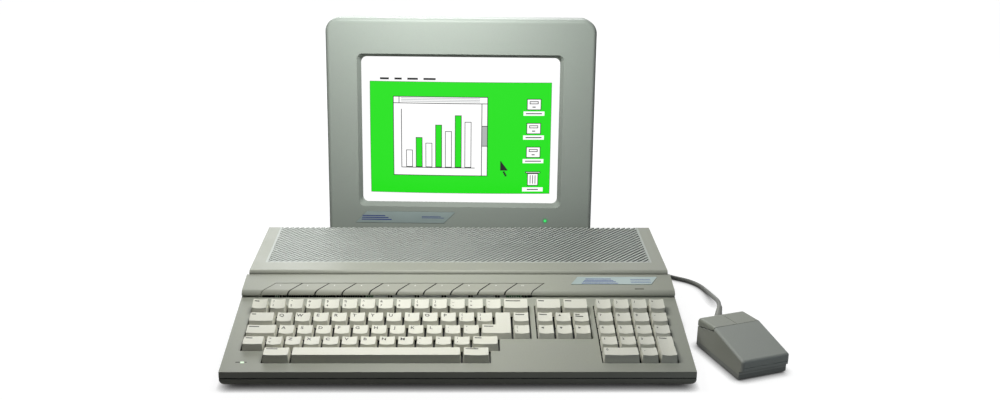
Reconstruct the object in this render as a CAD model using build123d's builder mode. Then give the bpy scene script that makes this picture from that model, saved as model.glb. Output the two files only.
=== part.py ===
from build123d import *
from math import atan2, cos, pi, radians, sin, tan
import os

os.makedirs("parts", exist_ok=True)

# A sixteen-bit home computer with its colour monitor and its ball mouse, as they
# stand on a desk. All sizes are in millimetres. The origin is on the desk, under the
# middle of the whole set. +X is to the user's right and +Y points away from the user.

# ---------------------------------------------------------------------------------
# Driving dimensions
# ---------------------------------------------------------------------------------

# Where the units stand: the middle of the keyboard unit's front edge, the middle of
# the monitor's front edge, and the mouse's heel corner nearest the keyboard unit
unit_x, unit_y = -50.12, -332.37
monitor_from_unit_x, monitor_from_unit_y, monitor_turn = 0.0, 319.3, -1.8
mouse_from_unit_x, mouse_from_unit_y, mouse_turn = 283.2, 13.4, 19.0

# Keyboard unit: case
case_width = 470.4
case_depth = 280.0
foot_height = 3.0
foot_radius = 9.0
foot_from_edge = 24.0
parting_height = 13.8
case_wall = 2.5
case_bottom_radius = 9.5
parting_groove_height = 1.0
parting_groove_depth = 1.0
deck_front_height = 20.5
deck_front_radius = 1.6
deck_depth = 119.5
deck_angle = 11.65
band_rise = 6.7
band_depth = 31.9
band_nose_radius = 5.5
rear_step = 3.95
rear_top_angle = 0.9
rear_inset = 2.4
rear_nose_radius = 3.4
rear_edge_radius = 1.5
step_groove = 1.0
side_draft = 2.0
pillar_radius = 4.0
pillar_from_rear = 70.0
pillar_from_front = case_depth - pillar_from_rear
pillar_pitch_x, pillar_pitch_y = 138.0, 60.0
key_board_pillars = ((206.0, 20.0), (150.0, 100.0))
screw_radius = 1.5
screw_head_radius = 2.8
screw_head_height = 1.6

# Keyboard unit: slanted ventilation slots over the rear section
grille_margin_side = 18.0
grille_margin_front = 22.8
grille_pitch = 6.3
grille_slot = 2.3
grille_run_down_rear = 7.0

# Keyboard: five rows, counted from the back, of keys in three blocks of columns
key_pitch = 19.05
key_column_pitch = 18.95
key_columns = 23.0
key_block_starts = (15.75, 19.0)
key_block_gap = 1.4
key_front_margin = 12.7
key_base_inset = 1.0
key_top_side_inset = 1.95
key_top_back_inset = 2.2
key_top_depth = 13.0
key_back_heights = {1: 10.5, 2: 7.1, 3: 5.5, 4: 5.8, 5: 6.8}
key_front_heights = {1: 8.7, 2: 6.5, 3: 5.5, 4: 6.6, 5: 8.0}
key_wall = 1.3
key_travel = 3.8
key_skirt_depth = 1.2
key_corner_radius = 0.8
key_dish = 0.9
wide_key_dish = 0.4
wide_key_columns = 1.2
key_stem_radius = 2.8
key_stem_clearance = 0.3
well_clearance = 0.35
well_side_clearance = 1.5
well_skirt_wall = 1.4
plate_gap = 1.6
plate_thickness = 1.5
plate_margin = 3.0
key_board_drop = 5.0
key_board_thickness = 1.6
spacer_radius = 2.5
spacer_places = ((0.6, 5), (14.2, 5), (15.625, 1), (15.625, 3), (18.875, 1), (18.875, 3))

# Function keys: ten slanted caps set flush in the band behind the deck
function_key_count = 10
function_key_pitch = 29.23
function_key_first = -214.3
function_key_depth = 16.2
function_key_slant = 15.3
function_key_gap = 0.9
function_key_end_gap = 0.4
function_key_travel = 3.0
function_key_wall = 1.3
function_key_stem_radius = 2.5
shadow_groove_height = 2.6
shadow_groove_depth = 2.2

# Main board, power supply and shield
board_height = 9.0
board_thickness = 1.6
board_margin = 14.0
board_from_rear = 128.0
board_front = case_depth - board_from_rear
chip_height = 3.6
chip_pitch = 15.2
chip_width = 9.0
chip_length = 22.0
supply_place = -157.0
supply_from_rear = 56.0
supply_from_front = case_depth - supply_from_rear
supply_width = 90.0
supply_depth = 66.0
supply_height = 34.0
supply_gap = 5.0
shield_place = -22.0
shield_from_rear = 78.0
shield_from_front = case_depth - shield_from_rear
shield_height = 12.0
shield_width = 150.0
shield_depth = 80.0
shield_thickness = 0.8

# Floppy disk drive, which faces the right side of the case
drive_width = 101.6
drive_length = 150.0
drive_height = 27.0
drive_from_rear = 60.5
drive_from_front = case_depth - drive_from_rear
drive_floor = 21.5
drive_wall = 1.6
disk_slot_width = 94.0
disk_slot_height = 4.8
disk_plane = 17.0
bezel_plate = 3.0
bezel_plate_setback = 1.9
bezel_clearance = 0.4
rotor_radius = 16.0
rotor_thickness = 3.0
hub_radius = 13.0
hub_height = 4.0
hub_setback = 62.0
hub_shaft_radius = 2.5
shaft_clearance = 0.05
head_setback = 104.0
head_travel = 15.0
head_width = 26.0
head_length = 18.0
head_height = 6.0
leadscrew_radius = 1.5
leadscrew_pitch = 3.0
motor_radius = 10.0
motor_length = 14.0
eject_width = 14.0
eject_height = 6.0
eject_travel = 4.0
eject_proud = 5.0
eject_offset = -34.0
eject_from_floor = 6.0

# Ports in a recess under the right side
recess_depth = 48.0
recess_front = 76.0
recess_length = 70.0
recess_height = 17.5
recess_wall = 2.0
port_pitch = 35.0
port_width = 31.0
port_height = 12.4
port_flange = 1.2
port_shell_width = 17.0
port_shell_height = 8.4
port_shell_depth = 5.8
port_shell_wall = 0.8
port_axis_height = 9.5

# Connectors and switches in the rear wall, each placed by its distance from the middle
socket_height = 30.0
round_socket_radius = 7.8
round_socket_places = (66.0, 98.0, 140.0, 172.0)
wide_sockets = ((-100.0, 53.0), (-36.0, 53.0), (22.0, 39.0))
wide_socket_height = 12.4
socket_depth = 8.0
socket_proud = 0.6
socket_clearance = 0.3
inlet_width = 27.0
inlet_height = 20.0
inlet_depth = 17.0
inlet_wall = 1.6
inlet_place = -200.0
inlet_pin_width = 2.0
inlet_pin_height = 4.0
inlet_pin_pitch = 7.0
inlet_pin_drop = 1.0
switch_place = -168.0
switch_width = 12.0
switch_opening_height = 19.0
switch_clearance = 0.35
rocker_angle = 14.0
switch_pivot_depth = 3.0
switch_pin_radius = 1.0
switch_pin_proud = 0.2
reset_place = -146.0
reset_radius = 3.5
reset_travel = 2.5
reset_proud = 1.5

# Cartridge slot in the left side
cartridge_from_rear = 114.0
cartridge_from_front = case_depth - cartridge_from_rear
cartridge_width = 64.0
cartridge_height = 10.0
cartridge_depth = 22.0
cartridge_wall = 2.0
cartridge_floor = 17.0

# Small front parts of the keyboard unit
led_from_left = 20.7
led_from_front = 14.5
led_width = 3.4
led_depth = 2.0
led_height = 6.0
led_proud = 0.3
plate_left, plate_right = 122.2, 218.3
plate_front, plate_back = 133.2, 146.6
plate_slant = 8.3
drive_light_place, drive_light_from_front = 195.8, 125.2
drive_light_width, drive_light_depth = 9.6, 1.3
badge_thickness = 1.2
badge_sink = 0.8

# Monitor
bezel_width = 330.0
bezel_bottom = 30.0
bezel_height = 277.55
bezel_lean = 6.6
bezel_depth = 46.0
bezel_corner_radius = 17.0
bezel_edge_radius = 5.0
bezel_wall = 3.0
screen_open_width = 253.0
screen_open_height = 191.0
screen_open_bottom = 43.55
screen_shift = -0.35
screen_open_radius = 7.0
screen_reveal = 10.0
screen_reveal_inset = 4.2
cabinet_inset = 6.0
cabinet_depth = 296.0
cabinet_rear_width = 230.0
cabinet_rear_height = 184.0
cabinet_rear_bottom = 62.0
cabinet_wall = 3.0
cabinet_radius = 14.0
cabinet_slot_count = 16
cabinet_slot_pitch = 11.0
cabinet_slot_width = 3.0
cabinet_slot_length = 60.0
cabinet_slot_setback = 190.0
stand_width = 270.0
stand_depth = 240.0
stand_setback = 20.0
stand_radius = 20.0
monitor_foot_height = 4.0
monitor_foot_radius = 10.0
monitor_foot_inset = 26.0
tube_face_width = 250.0
tube_face_height = 193.0
tube_bulge = 9.0
tube_face_thickness = 16.0
tube_cone_depth = 120.0
tube_throat = 42.0
tube_neck_radius = 14.5
tube_neck_length = 96.0
yoke_radius = 44.0
yoke_length = 40.0
yoke_clearance = 0.4
speaker_radius = 28.0
speaker_depth = 18.0
speaker_place = 140.0
monitor_board_height = 76.0
monitor_board_setback = 110.0
monitor_board_width = 180.0
monitor_board_depth = 170.0
transformer_size = 36.0
power_button_width = 9.0
power_button_height = 14.0
power_button_drop = 28.0
power_button_travel = 3.5
power_button_length = 14.0
monitor_led_place = 107.3
monitor_led_above_bottom = 27.05
monitor_led_radius = 1.6
monitor_badge_left, monitor_badge_right = -131.2, -6.1
monitor_badge_bottom, monitor_badge_top = 22.45, 36.85
monitor_badge_slant = 14.0
knob_radius = 7.5
knob_length = 11.0
knob_shaft_radius = 3.0
knob_gap = 2.0
control_setback = 116.0
knob_pitch = 26.0
knob_height = 92.0
monitor_socket_spacing = 60.0
monitor_socket_height = 92.0

# Mouse, measured from its heel corner, with its base on four moulded skids
mouse_width = 56.0
mouse_length = 88.0
mouse_heel_height = 24.0
mouse_crease_height = 35.8
mouse_crease_from_heel = 55.5
mouse_front_height = 33.0
mouse_base_height = 7.0
mouse_heel_overhang = 4.5
mouse_heel_lip = 12.5
mouse_edge_radius = 3.2
mouse_nose_radius = 5.0
mouse_wall = 2.0
mouse_base_chamfer = 1.4
mouse_heel_groove_height = 15.6
mouse_heel_groove_width = 0.7
mouse_heel_groove_inset = 1.5
mouse_skid_height = 0.8
mouse_skid_radius = 3.5
mouse_skid_inset = 8.0
button_front_skirt = 9.0
button_crease_skirt = 3.5
button_gap = 0.6
button_travel = 0.8
ball_radius = 11.0
ball_lift = 0.2
ball_from_heel = 40.0
ball_hole_radius = 9.6
ring_radius = 15.0
ring_thickness = 2.0
ring_clearance = 0.1
roller_radius = 2.5
roller_length = 14.0
roller_gap = 0.3
roller_shaft_radius = 1.25
post_reach = 9.0
wheel_slots = 12
wheel_radius = 7.0
wheel_thickness = 1.0
mouse_board_height = 5.0
mouse_board_back = 62.0
relief_exit_height = 20.0
relief_shift = 3.0
relief_straight = 8.0
relief_bend_radius = 20.0
relief_base_radius = 5.2
relief_tip_radius = 2.9
relief_shares = (0.0, 0.12, 0.25, 0.4, 0.6, 0.8, 1.0)

# Mouse cord: a tube, a flat coil of two layers behind the unit, and the lead back to
# the port. The routes are measured from the middle of the unit's front edge.
cord_diameter = 4.8
cord_floor_gap = 0.1
coil_turn_radius = 26.5
coil_layers = 2
coil_turns_in_layer = 3
coil_centre = (204.0, 331.2)
plug_length = 22.0
plug_edge_radius = 2.0
mouse_cord_route = [
    (289.9, 143.8, 22.5),
    (293.5, 161.2, 19.5),
    (295.8, 179.2, 14.5),
    (297.2, 197.2, 9.0),
    (297.3, 214.2, 5.0),
    (295.5, 230.2, 2.6),
    (290.5, 247.2, 2.5),
    (280.0, 260.2, 2.5),
    (267.0, 267.7, 2.5),
    (255.0, 276.2, 2.5),
    (247.0, 288.2, 2.5),
    (241.0, 303.2, 2.5),
    (238.0, 312.0, 2.5),
    (236.2, 320.2, 2.5),
]
cord_lead_route = [
    (185.9, 303.7, 6.3),
    (192.0, 295.9, 4.2),
    (201.5, 290.0, 2.9),
    (214.0, 287.2, 2.5),
    (228.0, 286.6, 2.5),
    (240.6, 281.9, 2.5),
    (245.6, 270.0, 2.5),
    (246.0, 254.0, 2.5),
    (243.8, 236.0, 2.5),
    (243.4, 216.0, 2.5),
    (245.8, 196.0, 2.5),
    (245.4, 178.0, 2.5),
    (242.8, 163.5, 2.5),
    (243.8, 150.8, 3.4),
    (243.3, 140.3, 5.4),
    (239.1, 132.8, 7.5),
    (231.6, 128.5, 9.1),
    (223.0, 128.5, 9.5),
]

# ---------------------------------------------------------------------------------
# Places worked out from the driving dimensions
# ---------------------------------------------------------------------------------

half_width = case_width / 2
deck_slope = radians(deck_angle)
deck_back_height = deck_front_height + deck_depth * tan(deck_slope)
band_front_height = deck_back_height + band_rise
step_from_front = deck_depth + band_depth
step_height = band_front_height + band_depth * tan(deck_slope)
rear_from_front = step_from_front + step_groove
rear_front_height = step_height + rear_step
rear_height = rear_front_height + (case_depth - rear_from_front) * tan(radians(rear_top_angle))
floor_top = foot_height + case_wall

unit = Plane(origin=(unit_x, unit_y, 0))
unit_side = Plane(origin=(unit_x, unit_y, 0), x_dir=(0, 1, 0), z_dir=(1, 0, 0))
unit_rear = Plane(origin=(unit_x, unit_y + case_depth, 0), x_dir=(1, 0, 0), z_dir=(0, -1, 0))
deck_normal = (0, -sin(deck_slope), cos(deck_slope))
deck = Plane(origin=(unit_x, unit_y, deck_front_height), x_dir=(1, 0, 0), z_dir=deck_normal)
band = Plane(
    origin=(unit_x, unit_y + deck_depth, band_front_height), x_dir=(1, 0, 0), z_dir=deck_normal
)

lean = radians(bezel_lean)
monitor = Plane(
    origin=(unit_x + monitor_from_unit_x, unit_y + monitor_from_unit_y, 0),
    x_dir=(cos(radians(monitor_turn)), sin(radians(monitor_turn)), 0),
    z_dir=(0, 0, 1),
)
monitor_face = Plane(
    origin=monitor.origin,
    x_dir=monitor.x_dir,
    z_dir=monitor.z_dir * sin(lean) - monitor.y_dir * cos(lean),
)
monitor_rear = Plane(
    origin=monitor.from_local_coords((0, bezel_depth + cabinet_depth, 0)),
    x_dir=-monitor.x_dir,
    z_dir=monitor.y_dir,
)
bezel_low = bezel_bottom / cos(lean)

plate_top = -(key_skirt_depth + key_travel + plate_gap)
plate_bottom = plate_top - plate_thickness
key_board_top = plate_bottom - key_board_drop
key_board_bottom = key_board_top - key_board_thickness
keyboard_back = (deck_depth + function_key_depth) / cos(deck_slope)

grille_front = rear_from_front + grille_margin_front
grille_width = case_width - 2 * grille_margin_side
grille_length = case_depth - grille_front
grille_bottom = rear_height - case_wall - grille_run_down_rear

board_back = case_depth - board_margin
recess_left = half_width - recess_depth
recess_middle = recess_front + recess_length / 2
bezel_face = half_width - rear_inset - bezel_plate_setback
well_inset = key_base_inset - well_clearance
well_side_inset = key_base_inset - well_side_clearance
key_area_width = key_columns * key_column_pitch + len(key_block_starts) * key_block_gap

# Each well is a run of rows and columns: first row, last row, first and last column
key_wells = [
    (1, 3, 0.0, 15.5),
    (1, 4, 0.0, 13.75),
    (1, 5, 1.25, 13.25),
    (1, 3, 15.75, 18.75),
    (1, 5, 19.0, 23.0),
]


def row_back(row):
    """Distance up the deck from its front edge to the back of a row's cells."""
    return key_front_margin + (len(key_back_heights) + 1 - row) * key_pitch


def row_front(row):
    """Distance up the deck from its front edge to the front of a row's cells."""
    return row_back(row) - key_pitch


def column_left(column):
    """Distance from the middle of the unit to the left side of a column."""
    gaps = sum(1 for start in key_block_starts if column >= start)
    return column * key_column_pitch + gaps * key_block_gap - key_area_width / 2


# ---------------------------------------------------------------------------------
# Keyboard unit: case
# ---------------------------------------------------------------------------------


def side_plane(sign, inset):
    """The drafted side of the case, drawn in by an inset. It faces outwards."""
    return Plane(
        origin=(unit_x + sign * (half_width - inset), unit_y, parting_height),
        x_dir=(0, 1, 0),
        z_dir=(sign * cos(radians(side_draft)), 0, sin(radians(side_draft))),
    )


def deck_block(shrink):
    """The front part of the upper case, with its key deck and its band."""
    bottom = parting_height - 2 * shrink
    with BuildPart() as block:
        with BuildSketch(unit_side):
            with BuildLine():
                Polyline(
                    (0, bottom),
                    (0, deck_front_height),
                    (deck_depth, deck_back_height),
                    (deck_depth, band_front_height),
                    (step_from_front, step_height),
                    (rear_from_front, step_height),
                    (rear_from_front, bottom),
                    close=True,
                )
            profile = make_face()
            nose = profile.vertices().sort_by_distance((deck_depth, band_front_height))[0]
            edge = profile.vertices().sort_by_distance((0, deck_front_height))[0]
            fillet(nose, band_nose_radius)
            fillet(edge, deck_front_radius)
            if shrink:
                offset(amount=-shrink, kind=Kind.INTERSECTION)
        extrude(amount=half_width - shrink / 2, both=True)
        for sign in (-1, 1):
            split(bisect_by=side_plane(sign, shrink), keep=Keep.BOTTOM)
    return block.part


def rear_block(shrink):
    """The raised rear part of the upper case, a little narrower than the front."""
    bottom = parting_height - 2 * shrink
    with BuildPart() as block:
        with BuildSketch(unit_side):
            with BuildLine():
                Polyline(
                    (rear_from_front, bottom),
                    (rear_from_front, rear_front_height),
                    (case_depth, rear_height),
                    (case_depth, bottom),
                    close=True,
                )
            profile = make_face()
            nose = profile.vertices().sort_by_distance((rear_from_front, rear_front_height))[0]
            edge = profile.vertices().sort_by_distance((case_depth, rear_height))[0]
            fillet(nose, rear_nose_radius)
            fillet(edge, rear_edge_radius)
            if shrink:
                offset(amount=-shrink, kind=Kind.INTERSECTION)
        extrude(amount=half_width - rear_inset - shrink / 2, both=True)
        for sign in (-1, 1):
            split(bisect_by=side_plane(sign, rear_inset + shrink), keep=Keep.BOTTOM)
    return block.part


def grille_region():
    """The space taken by the ventilation grille, over the roof and down the rear wall."""
    with BuildPart() as region:
        with BuildSketch(unit.offset(grille_bottom)):
            with Locations((0, grille_front + grille_length)):
                Rectangle(grille_width, 2 * grille_length)
        extrude(amount=rear_height)
    return region.part


def well_outline(grow):
    """Draws all the key wells in the deck's plane, grown by a margin."""
    for first_row, last_row, left, right in key_wells:
        width = column_left(right) - column_left(left) - 2 * well_side_inset
        depth = row_back(first_row) - row_front(last_row) - 2 * well_inset
        middle = (column_left(left) + column_left(right)) / 2
        with Locations((middle, (row_back(first_row) + row_front(last_row)) / 2)):
            Rectangle(width + 2 * grow, depth + 2 * grow)


def band_point(x, from_front):
    """A point of the band's plane above a place in plan."""
    return (x, (from_front - deck_depth) / cos(deck_slope))


def badge_outline(grow):
    """Draws the slanted badge plate in the band's plane, grown by a clearance."""
    front = plate_front - grow
    back = plate_back + grow
    Polygon(
        band_point(plate_left - grow, front),
        band_point(plate_right - plate_slant + grow, front),
        band_point(plate_right + grow, back),
        band_point(plate_left + plate_slant - grow, back),
        align=None,
    )


def monitor_badge_outline(grow):
    """Draws the monitor's slanted badge plate on its front, grown by a clearance."""
    low = bezel_low + monitor_badge_bottom - grow
    high = bezel_low + monitor_badge_top + grow
    Polygon(
        (monitor_badge_left - grow, low),
        (monitor_badge_right - monitor_badge_slant + grow, low),
        (monitor_badge_right + grow, high),
        (monitor_badge_left + monitor_badge_slant - grow, high),
        align=None,
    )


def slanted_outline(left, right, front, back):
    """Draws a slanted outline in plan that follows the function keys' lean."""
    lean = function_key_slant / function_key_depth
    Polygon(
        (left + (front - deck_depth) * lean, front),
        (right + (front - deck_depth) * lean, front),
        (right + (back - deck_depth) * lean, back),
        (left + (back - deck_depth) * lean, back),
        align=None,
    )


upper_shell = deck_block(0) + rear_block(0) - deck_block(case_wall) - rear_block(case_wall)

with BuildPart() as vent_grille:
    add(upper_shell)
    add(grille_region(), mode=Mode.INTERSECT)
    # Slots at forty-five degrees that run out over the rear edge
    with BuildSketch(unit.offset(rear_height + case_wall)):
        slots = int((grille_width + grille_length) / grille_pitch)
        with Locations((0, grille_front + grille_length / 2)):
            with GridLocations(grille_pitch, 0, slots, 1):
                Rectangle(2 * grille_length, grille_slot, rotation=45)
        with Locations((0, grille_front + grille_length)):
            border = 2 * grille_slot
            Rectangle(grille_width - border, 2 * grille_length - border, mode=Mode.INTERSECT)
    extrude(amount=-(2 * case_wall + grille_run_down_rear), mode=Mode.SUBTRACT)

vent_grille.part.label = "vent_grille"
export_step(vent_grille.part, "parts/vent_grille.step")

with BuildPart() as top_case:
    add(upper_shell)
    add(grille_region(), mode=Mode.SUBTRACT)
    # Way through the web between the front part and the rear part
    with BuildSketch(unit_side):
        with Locations((step_from_front, (parting_height + step_height) / 2 - 2 * case_wall)):
            Rectangle(6 * case_wall, step_height - parting_height)
    extrude(amount=half_width - rear_inset - 2 * case_wall, both=True, mode=Mode.SUBTRACT)
    # Dark groove between the band and the raised rear part
    with BuildSketch(unit.offset(step_height)):
        with Locations((0, step_from_front + step_groove / 2)):
            Rectangle(case_width, step_groove)
    extrude(amount=-step_groove, mode=Mode.SUBTRACT)
    # Shadow groove under the front of the band
    with BuildSketch(unit_side):
        Polygon(
            (deck_depth - shadow_groove_depth, deck_back_height + shadow_groove_height),
            (deck_depth - shadow_groove_depth, deck_back_height - shadow_groove_depth * tan(deck_slope)),
            (deck_depth + shadow_groove_depth, deck_back_height + shadow_groove_depth * tan(deck_slope)),
            (deck_depth + shadow_groove_depth, deck_back_height + shadow_groove_height),
            align=None,
        )
    extrude(amount=half_width, both=True, mode=Mode.SUBTRACT)
    # Key wells, each with a skirt that reaches down to the key plate
    with BuildSketch(deck.offset(-case_wall / 2)):
        well_outline(well_skirt_wall)
    extrude(amount=plate_top + case_wall / 2)
    with BuildSketch(deck.offset(case_wall)):
        well_outline(0)
    extrude(amount=plate_top - case_wall, mode=Mode.SUBTRACT)
    # Slanted opening for the function keys, open to the front
    with BuildSketch(unit.offset(rear_height)):
        last = function_key_first + function_key_count * function_key_pitch
        left, right = function_key_first - function_key_end_gap, last + function_key_end_gap
        slanted_outline(left, right, deck_depth, deck_depth + function_key_depth)
    extrude(amount=deck_back_height - function_key_travel - rear_height, mode=Mode.SUBTRACT)
    # Seat for the badge plate, and holes for the two lights
    with BuildSketch(band):
        badge_outline(socket_clearance)
    extrude(amount=-badge_sink, mode=Mode.SUBTRACT)
    with BuildSketch(band):
        with Locations(band_point(drive_light_place, drive_light_from_front)):
            Rectangle(drive_light_width + 2 * socket_clearance, drive_light_depth + 2 * socket_clearance)
    extrude(amount=-2 * case_wall, mode=Mode.SUBTRACT)
    with BuildSketch(deck):
        with Locations((-half_width + led_from_left, led_from_front)):
            Rectangle(led_width + 2 * socket_clearance, led_depth + 2 * socket_clearance)
    extrude(amount=-2 * case_wall, mode=Mode.SUBTRACT)
    # Right side: the drive's opening and the notch over the port recess
    with BuildSketch(unit.offset(drive_floor - bezel_clearance)):
        with Locations((half_width, drive_from_front)):
            Rectangle(6 * case_wall, drive_width + 2 * bezel_clearance)
    extrude(amount=drive_height + 2 * bezel_clearance, mode=Mode.SUBTRACT)
    with BuildSketch(unit.offset(parting_height)):
        with Locations((half_width, recess_middle)):
            Rectangle(4 * case_wall, recess_length)
    extrude(amount=recess_height - parting_height, mode=Mode.SUBTRACT)
    # Left side: the cartridge slot
    with BuildSketch(unit.offset(cartridge_floor)):
        with Locations((-half_width, cartridge_from_front)):
            Rectangle(6 * case_wall, cartridge_width)
    extrude(amount=cartridge_height, mode=Mode.SUBTRACT)
    # Rear wall: openings for the sockets and switches
    with BuildSketch(unit_rear):
        for place in round_socket_places:
            with Locations((place, socket_height)):
                Circle(round_socket_radius + socket_clearance)
        for place, width in wide_sockets:
            with Locations((place, socket_height)):
                Rectangle(width + 2 * socket_clearance, wide_socket_height + 2 * socket_clearance)
        with Locations((inlet_place, socket_height)):
            Rectangle(inlet_width + 2 * socket_clearance, inlet_height + 2 * socket_clearance)
        with Locations((switch_place, socket_height)):
            Rectangle(switch_width, switch_opening_height)
        with Locations((reset_place, socket_height)):
            Circle(reset_radius + switch_clearance)
    extrude(amount=2 * case_wall, mode=Mode.SUBTRACT)

top_case.part.label = "top_case"
export_step(top_case.part, "parts/top_case.step")

with BuildPart() as tray_hollow:
    with BuildSketch(unit.offset(floor_top)):
        with Locations((0, case_depth / 2)):
            Rectangle(case_width - 2 * case_wall, case_depth - 2 * case_wall)
    extrude(amount=parting_height - floor_top)
    fillet(tray_hollow.edges().group_by(Axis.Z)[0], case_bottom_radius - case_wall)

with BuildPart() as bottom_case:
    with BuildSketch(unit.offset(foot_height)):
        with Locations((0, case_depth / 2)):
            Rectangle(case_width, case_depth)
    extrude(amount=parting_height - foot_height)
    fillet(bottom_case.edges().group_by(Axis.Z)[0], case_bottom_radius)
    add(tray_hollow.part, mode=Mode.SUBTRACT)
    # Shadow groove all round under the upper case
    with BuildSketch(unit.offset(parting_height)):
        with Locations((0, case_depth / 2)):
            Rectangle(case_width, case_depth)
            groove = 2 * parting_groove_depth
            Rectangle(case_width - groove, case_depth - groove, mode=Mode.SUBTRACT)
    extrude(amount=-parting_groove_height, mode=Mode.SUBTRACT)
    # Housing of the port recess, open below and to the right
    with BuildSketch(unit.offset(foot_height)):
        with Locations(((recess_left - recess_wall + half_width - case_wall) / 2, recess_middle)):
            Rectangle(recess_depth + recess_wall - case_wall, recess_length + 2 * recess_wall)
    extrude(amount=parting_height - foot_height)
    with BuildSketch(unit.offset(parting_height)):
        with Locations(((recess_left - recess_wall + half_width - 2 * case_wall) / 2, recess_middle)):
            Rectangle(recess_depth + recess_wall - 2 * case_wall, recess_length + 2 * recess_wall)
    extrude(amount=recess_height + recess_wall - parting_height)
    with BuildSketch(unit):
        with Locations((recess_left + recess_depth, recess_middle)):
            Rectangle(2 * recess_depth, recess_length)
    extrude(amount=recess_height, mode=Mode.SUBTRACT)
    # Openings for the two ports in the recess's inner wall
    with BuildSketch(unit_side.offset(recess_left - 2 * recess_wall)):
        with Locations((recess_middle, port_axis_height)):
            with GridLocations(port_pitch, 0, 2, 1):
                Rectangle(port_shell_width, port_shell_height)
    extrude(amount=3 * recess_wall, mode=Mode.SUBTRACT)
    # Pillars under the keyboard, square to it
    for across, up in key_board_pillars:
        drop = deck_front_height + up * sin(deck_slope) - floor_top + case_wall / 2
        with BuildSketch(deck.offset(key_board_bottom)):
            with Locations((across, up), (-across, up)):
                Circle(pillar_radius)
        extrude(amount=-(drop / cos(deck_slope) + key_board_bottom))
    # Pillars under the main board, drilled from below for its screws
    with BuildSketch(unit.offset(floor_top)):
        with Locations((0, pillar_from_front)):
            with GridLocations(pillar_pitch_x, pillar_pitch_y, 4, 2):
                Circle(pillar_radius)
    extrude(amount=board_height - floor_top)
    with BuildSketch(unit.offset(foot_height)):
        with Locations((0, pillar_from_front)):
            with GridLocations(pillar_pitch_x, pillar_pitch_y, 4, 2):
                Circle(screw_radius + shaft_clearance)
    extrude(amount=board_height - foot_height, mode=Mode.SUBTRACT)
    with BuildSketch(unit.offset(foot_height)):
        with Locations((0, pillar_from_front)):
            with GridLocations(pillar_pitch_x, pillar_pitch_y, 4, 2):
                Circle(screw_head_radius + socket_clearance)
    extrude(amount=screw_head_height, mode=Mode.SUBTRACT)

bottom_case.part.label = "bottom_case"
export_step(bottom_case.part, "parts/bottom_case.step")

with BuildPart() as case_screws:
    with BuildSketch(unit.offset(foot_height)):
        with Locations((0, pillar_from_front)):
            with GridLocations(pillar_pitch_x, pillar_pitch_y, 4, 2):
                Circle(screw_head_radius)
                RegularPolygon(screw_head_radius / 2, 6, mode=Mode.SUBTRACT)
    extrude(amount=screw_head_height / 2)
    with BuildSketch(unit.offset(foot_height + screw_head_height / 2)):
        with Locations((0, pillar_from_front)):
            with GridLocations(pillar_pitch_x, pillar_pitch_y, 4, 2):
                Circle(screw_head_radius)
    extrude(amount=screw_head_height / 2)
    with BuildSketch(unit.offset(foot_height + screw_head_height)):
        with Locations((0, pillar_from_front)):
            with GridLocations(pillar_pitch_x, pillar_pitch_y, 4, 2):
                Circle(screw_radius)
    extrude(amount=board_height - foot_height - screw_head_height)

case_screws.part.label = "case_screws"
export_step(case_screws.part, "parts/case_screws.step")
# ---------------------------------------------------------------------------------
# Keyboard: caps, plate and board
# ---------------------------------------------------------------------------------


def cap_top_plane(back_row, front_row):
    """The plane of a cap's top, through its back and front edges, and its middle."""
    back = row_back(back_row) - key_top_back_inset
    front = row_front(front_row) + key_pitch - key_top_back_inset - key_top_depth
    rise = key_back_heights[back_row] - key_front_heights[front_row]
    slope = deck_slope + atan2(rise, back - front)
    middle = (key_back_heights[back_row] + key_front_heights[front_row]) / 2
    return Plane(
        origin=deck.from_local_coords((0, (back + front) / 2, middle)),
        x_dir=(1, 0, 0),
        z_dir=(0, -sin(slope), cos(slope)),
    )


def finger_dish(left, right, top_plane, depth):
    """The round dish along a cap's top, of a given depth at its middle."""
    width = right - left - 2 * key_top_side_inset
    radius = (width**2 / 4 + depth**2) / (2 * depth)
    with BuildPart() as dish:
        with BuildSketch(Plane(origin=top_plane.origin, x_dir=(1, 0, 0), z_dir=-top_plane.y_dir)):
            with Locations(((left + right) / 2, radius - depth)):
                Circle(radius)
        extrude(amount=2 * key_pitch, both=True)
    return dish.part


def cap_body(base, top, top_plane, sink):
    """A cap's solid between its base and top outlines, both lists of corners."""
    with BuildPart() as body:
        with BuildSketch(deck.offset(-key_skirt_depth - sink)):
            corners = Polygon(*base, align=None)
            fillet(corners.vertices(), key_corner_radius)
        with BuildSketch(top_plane.offset(-sink)):
            corners = Polygon(*top, align=None)
            fillet(corners.vertices(), key_corner_radius)
        loft(ruled=True)
    return body.part


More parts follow.
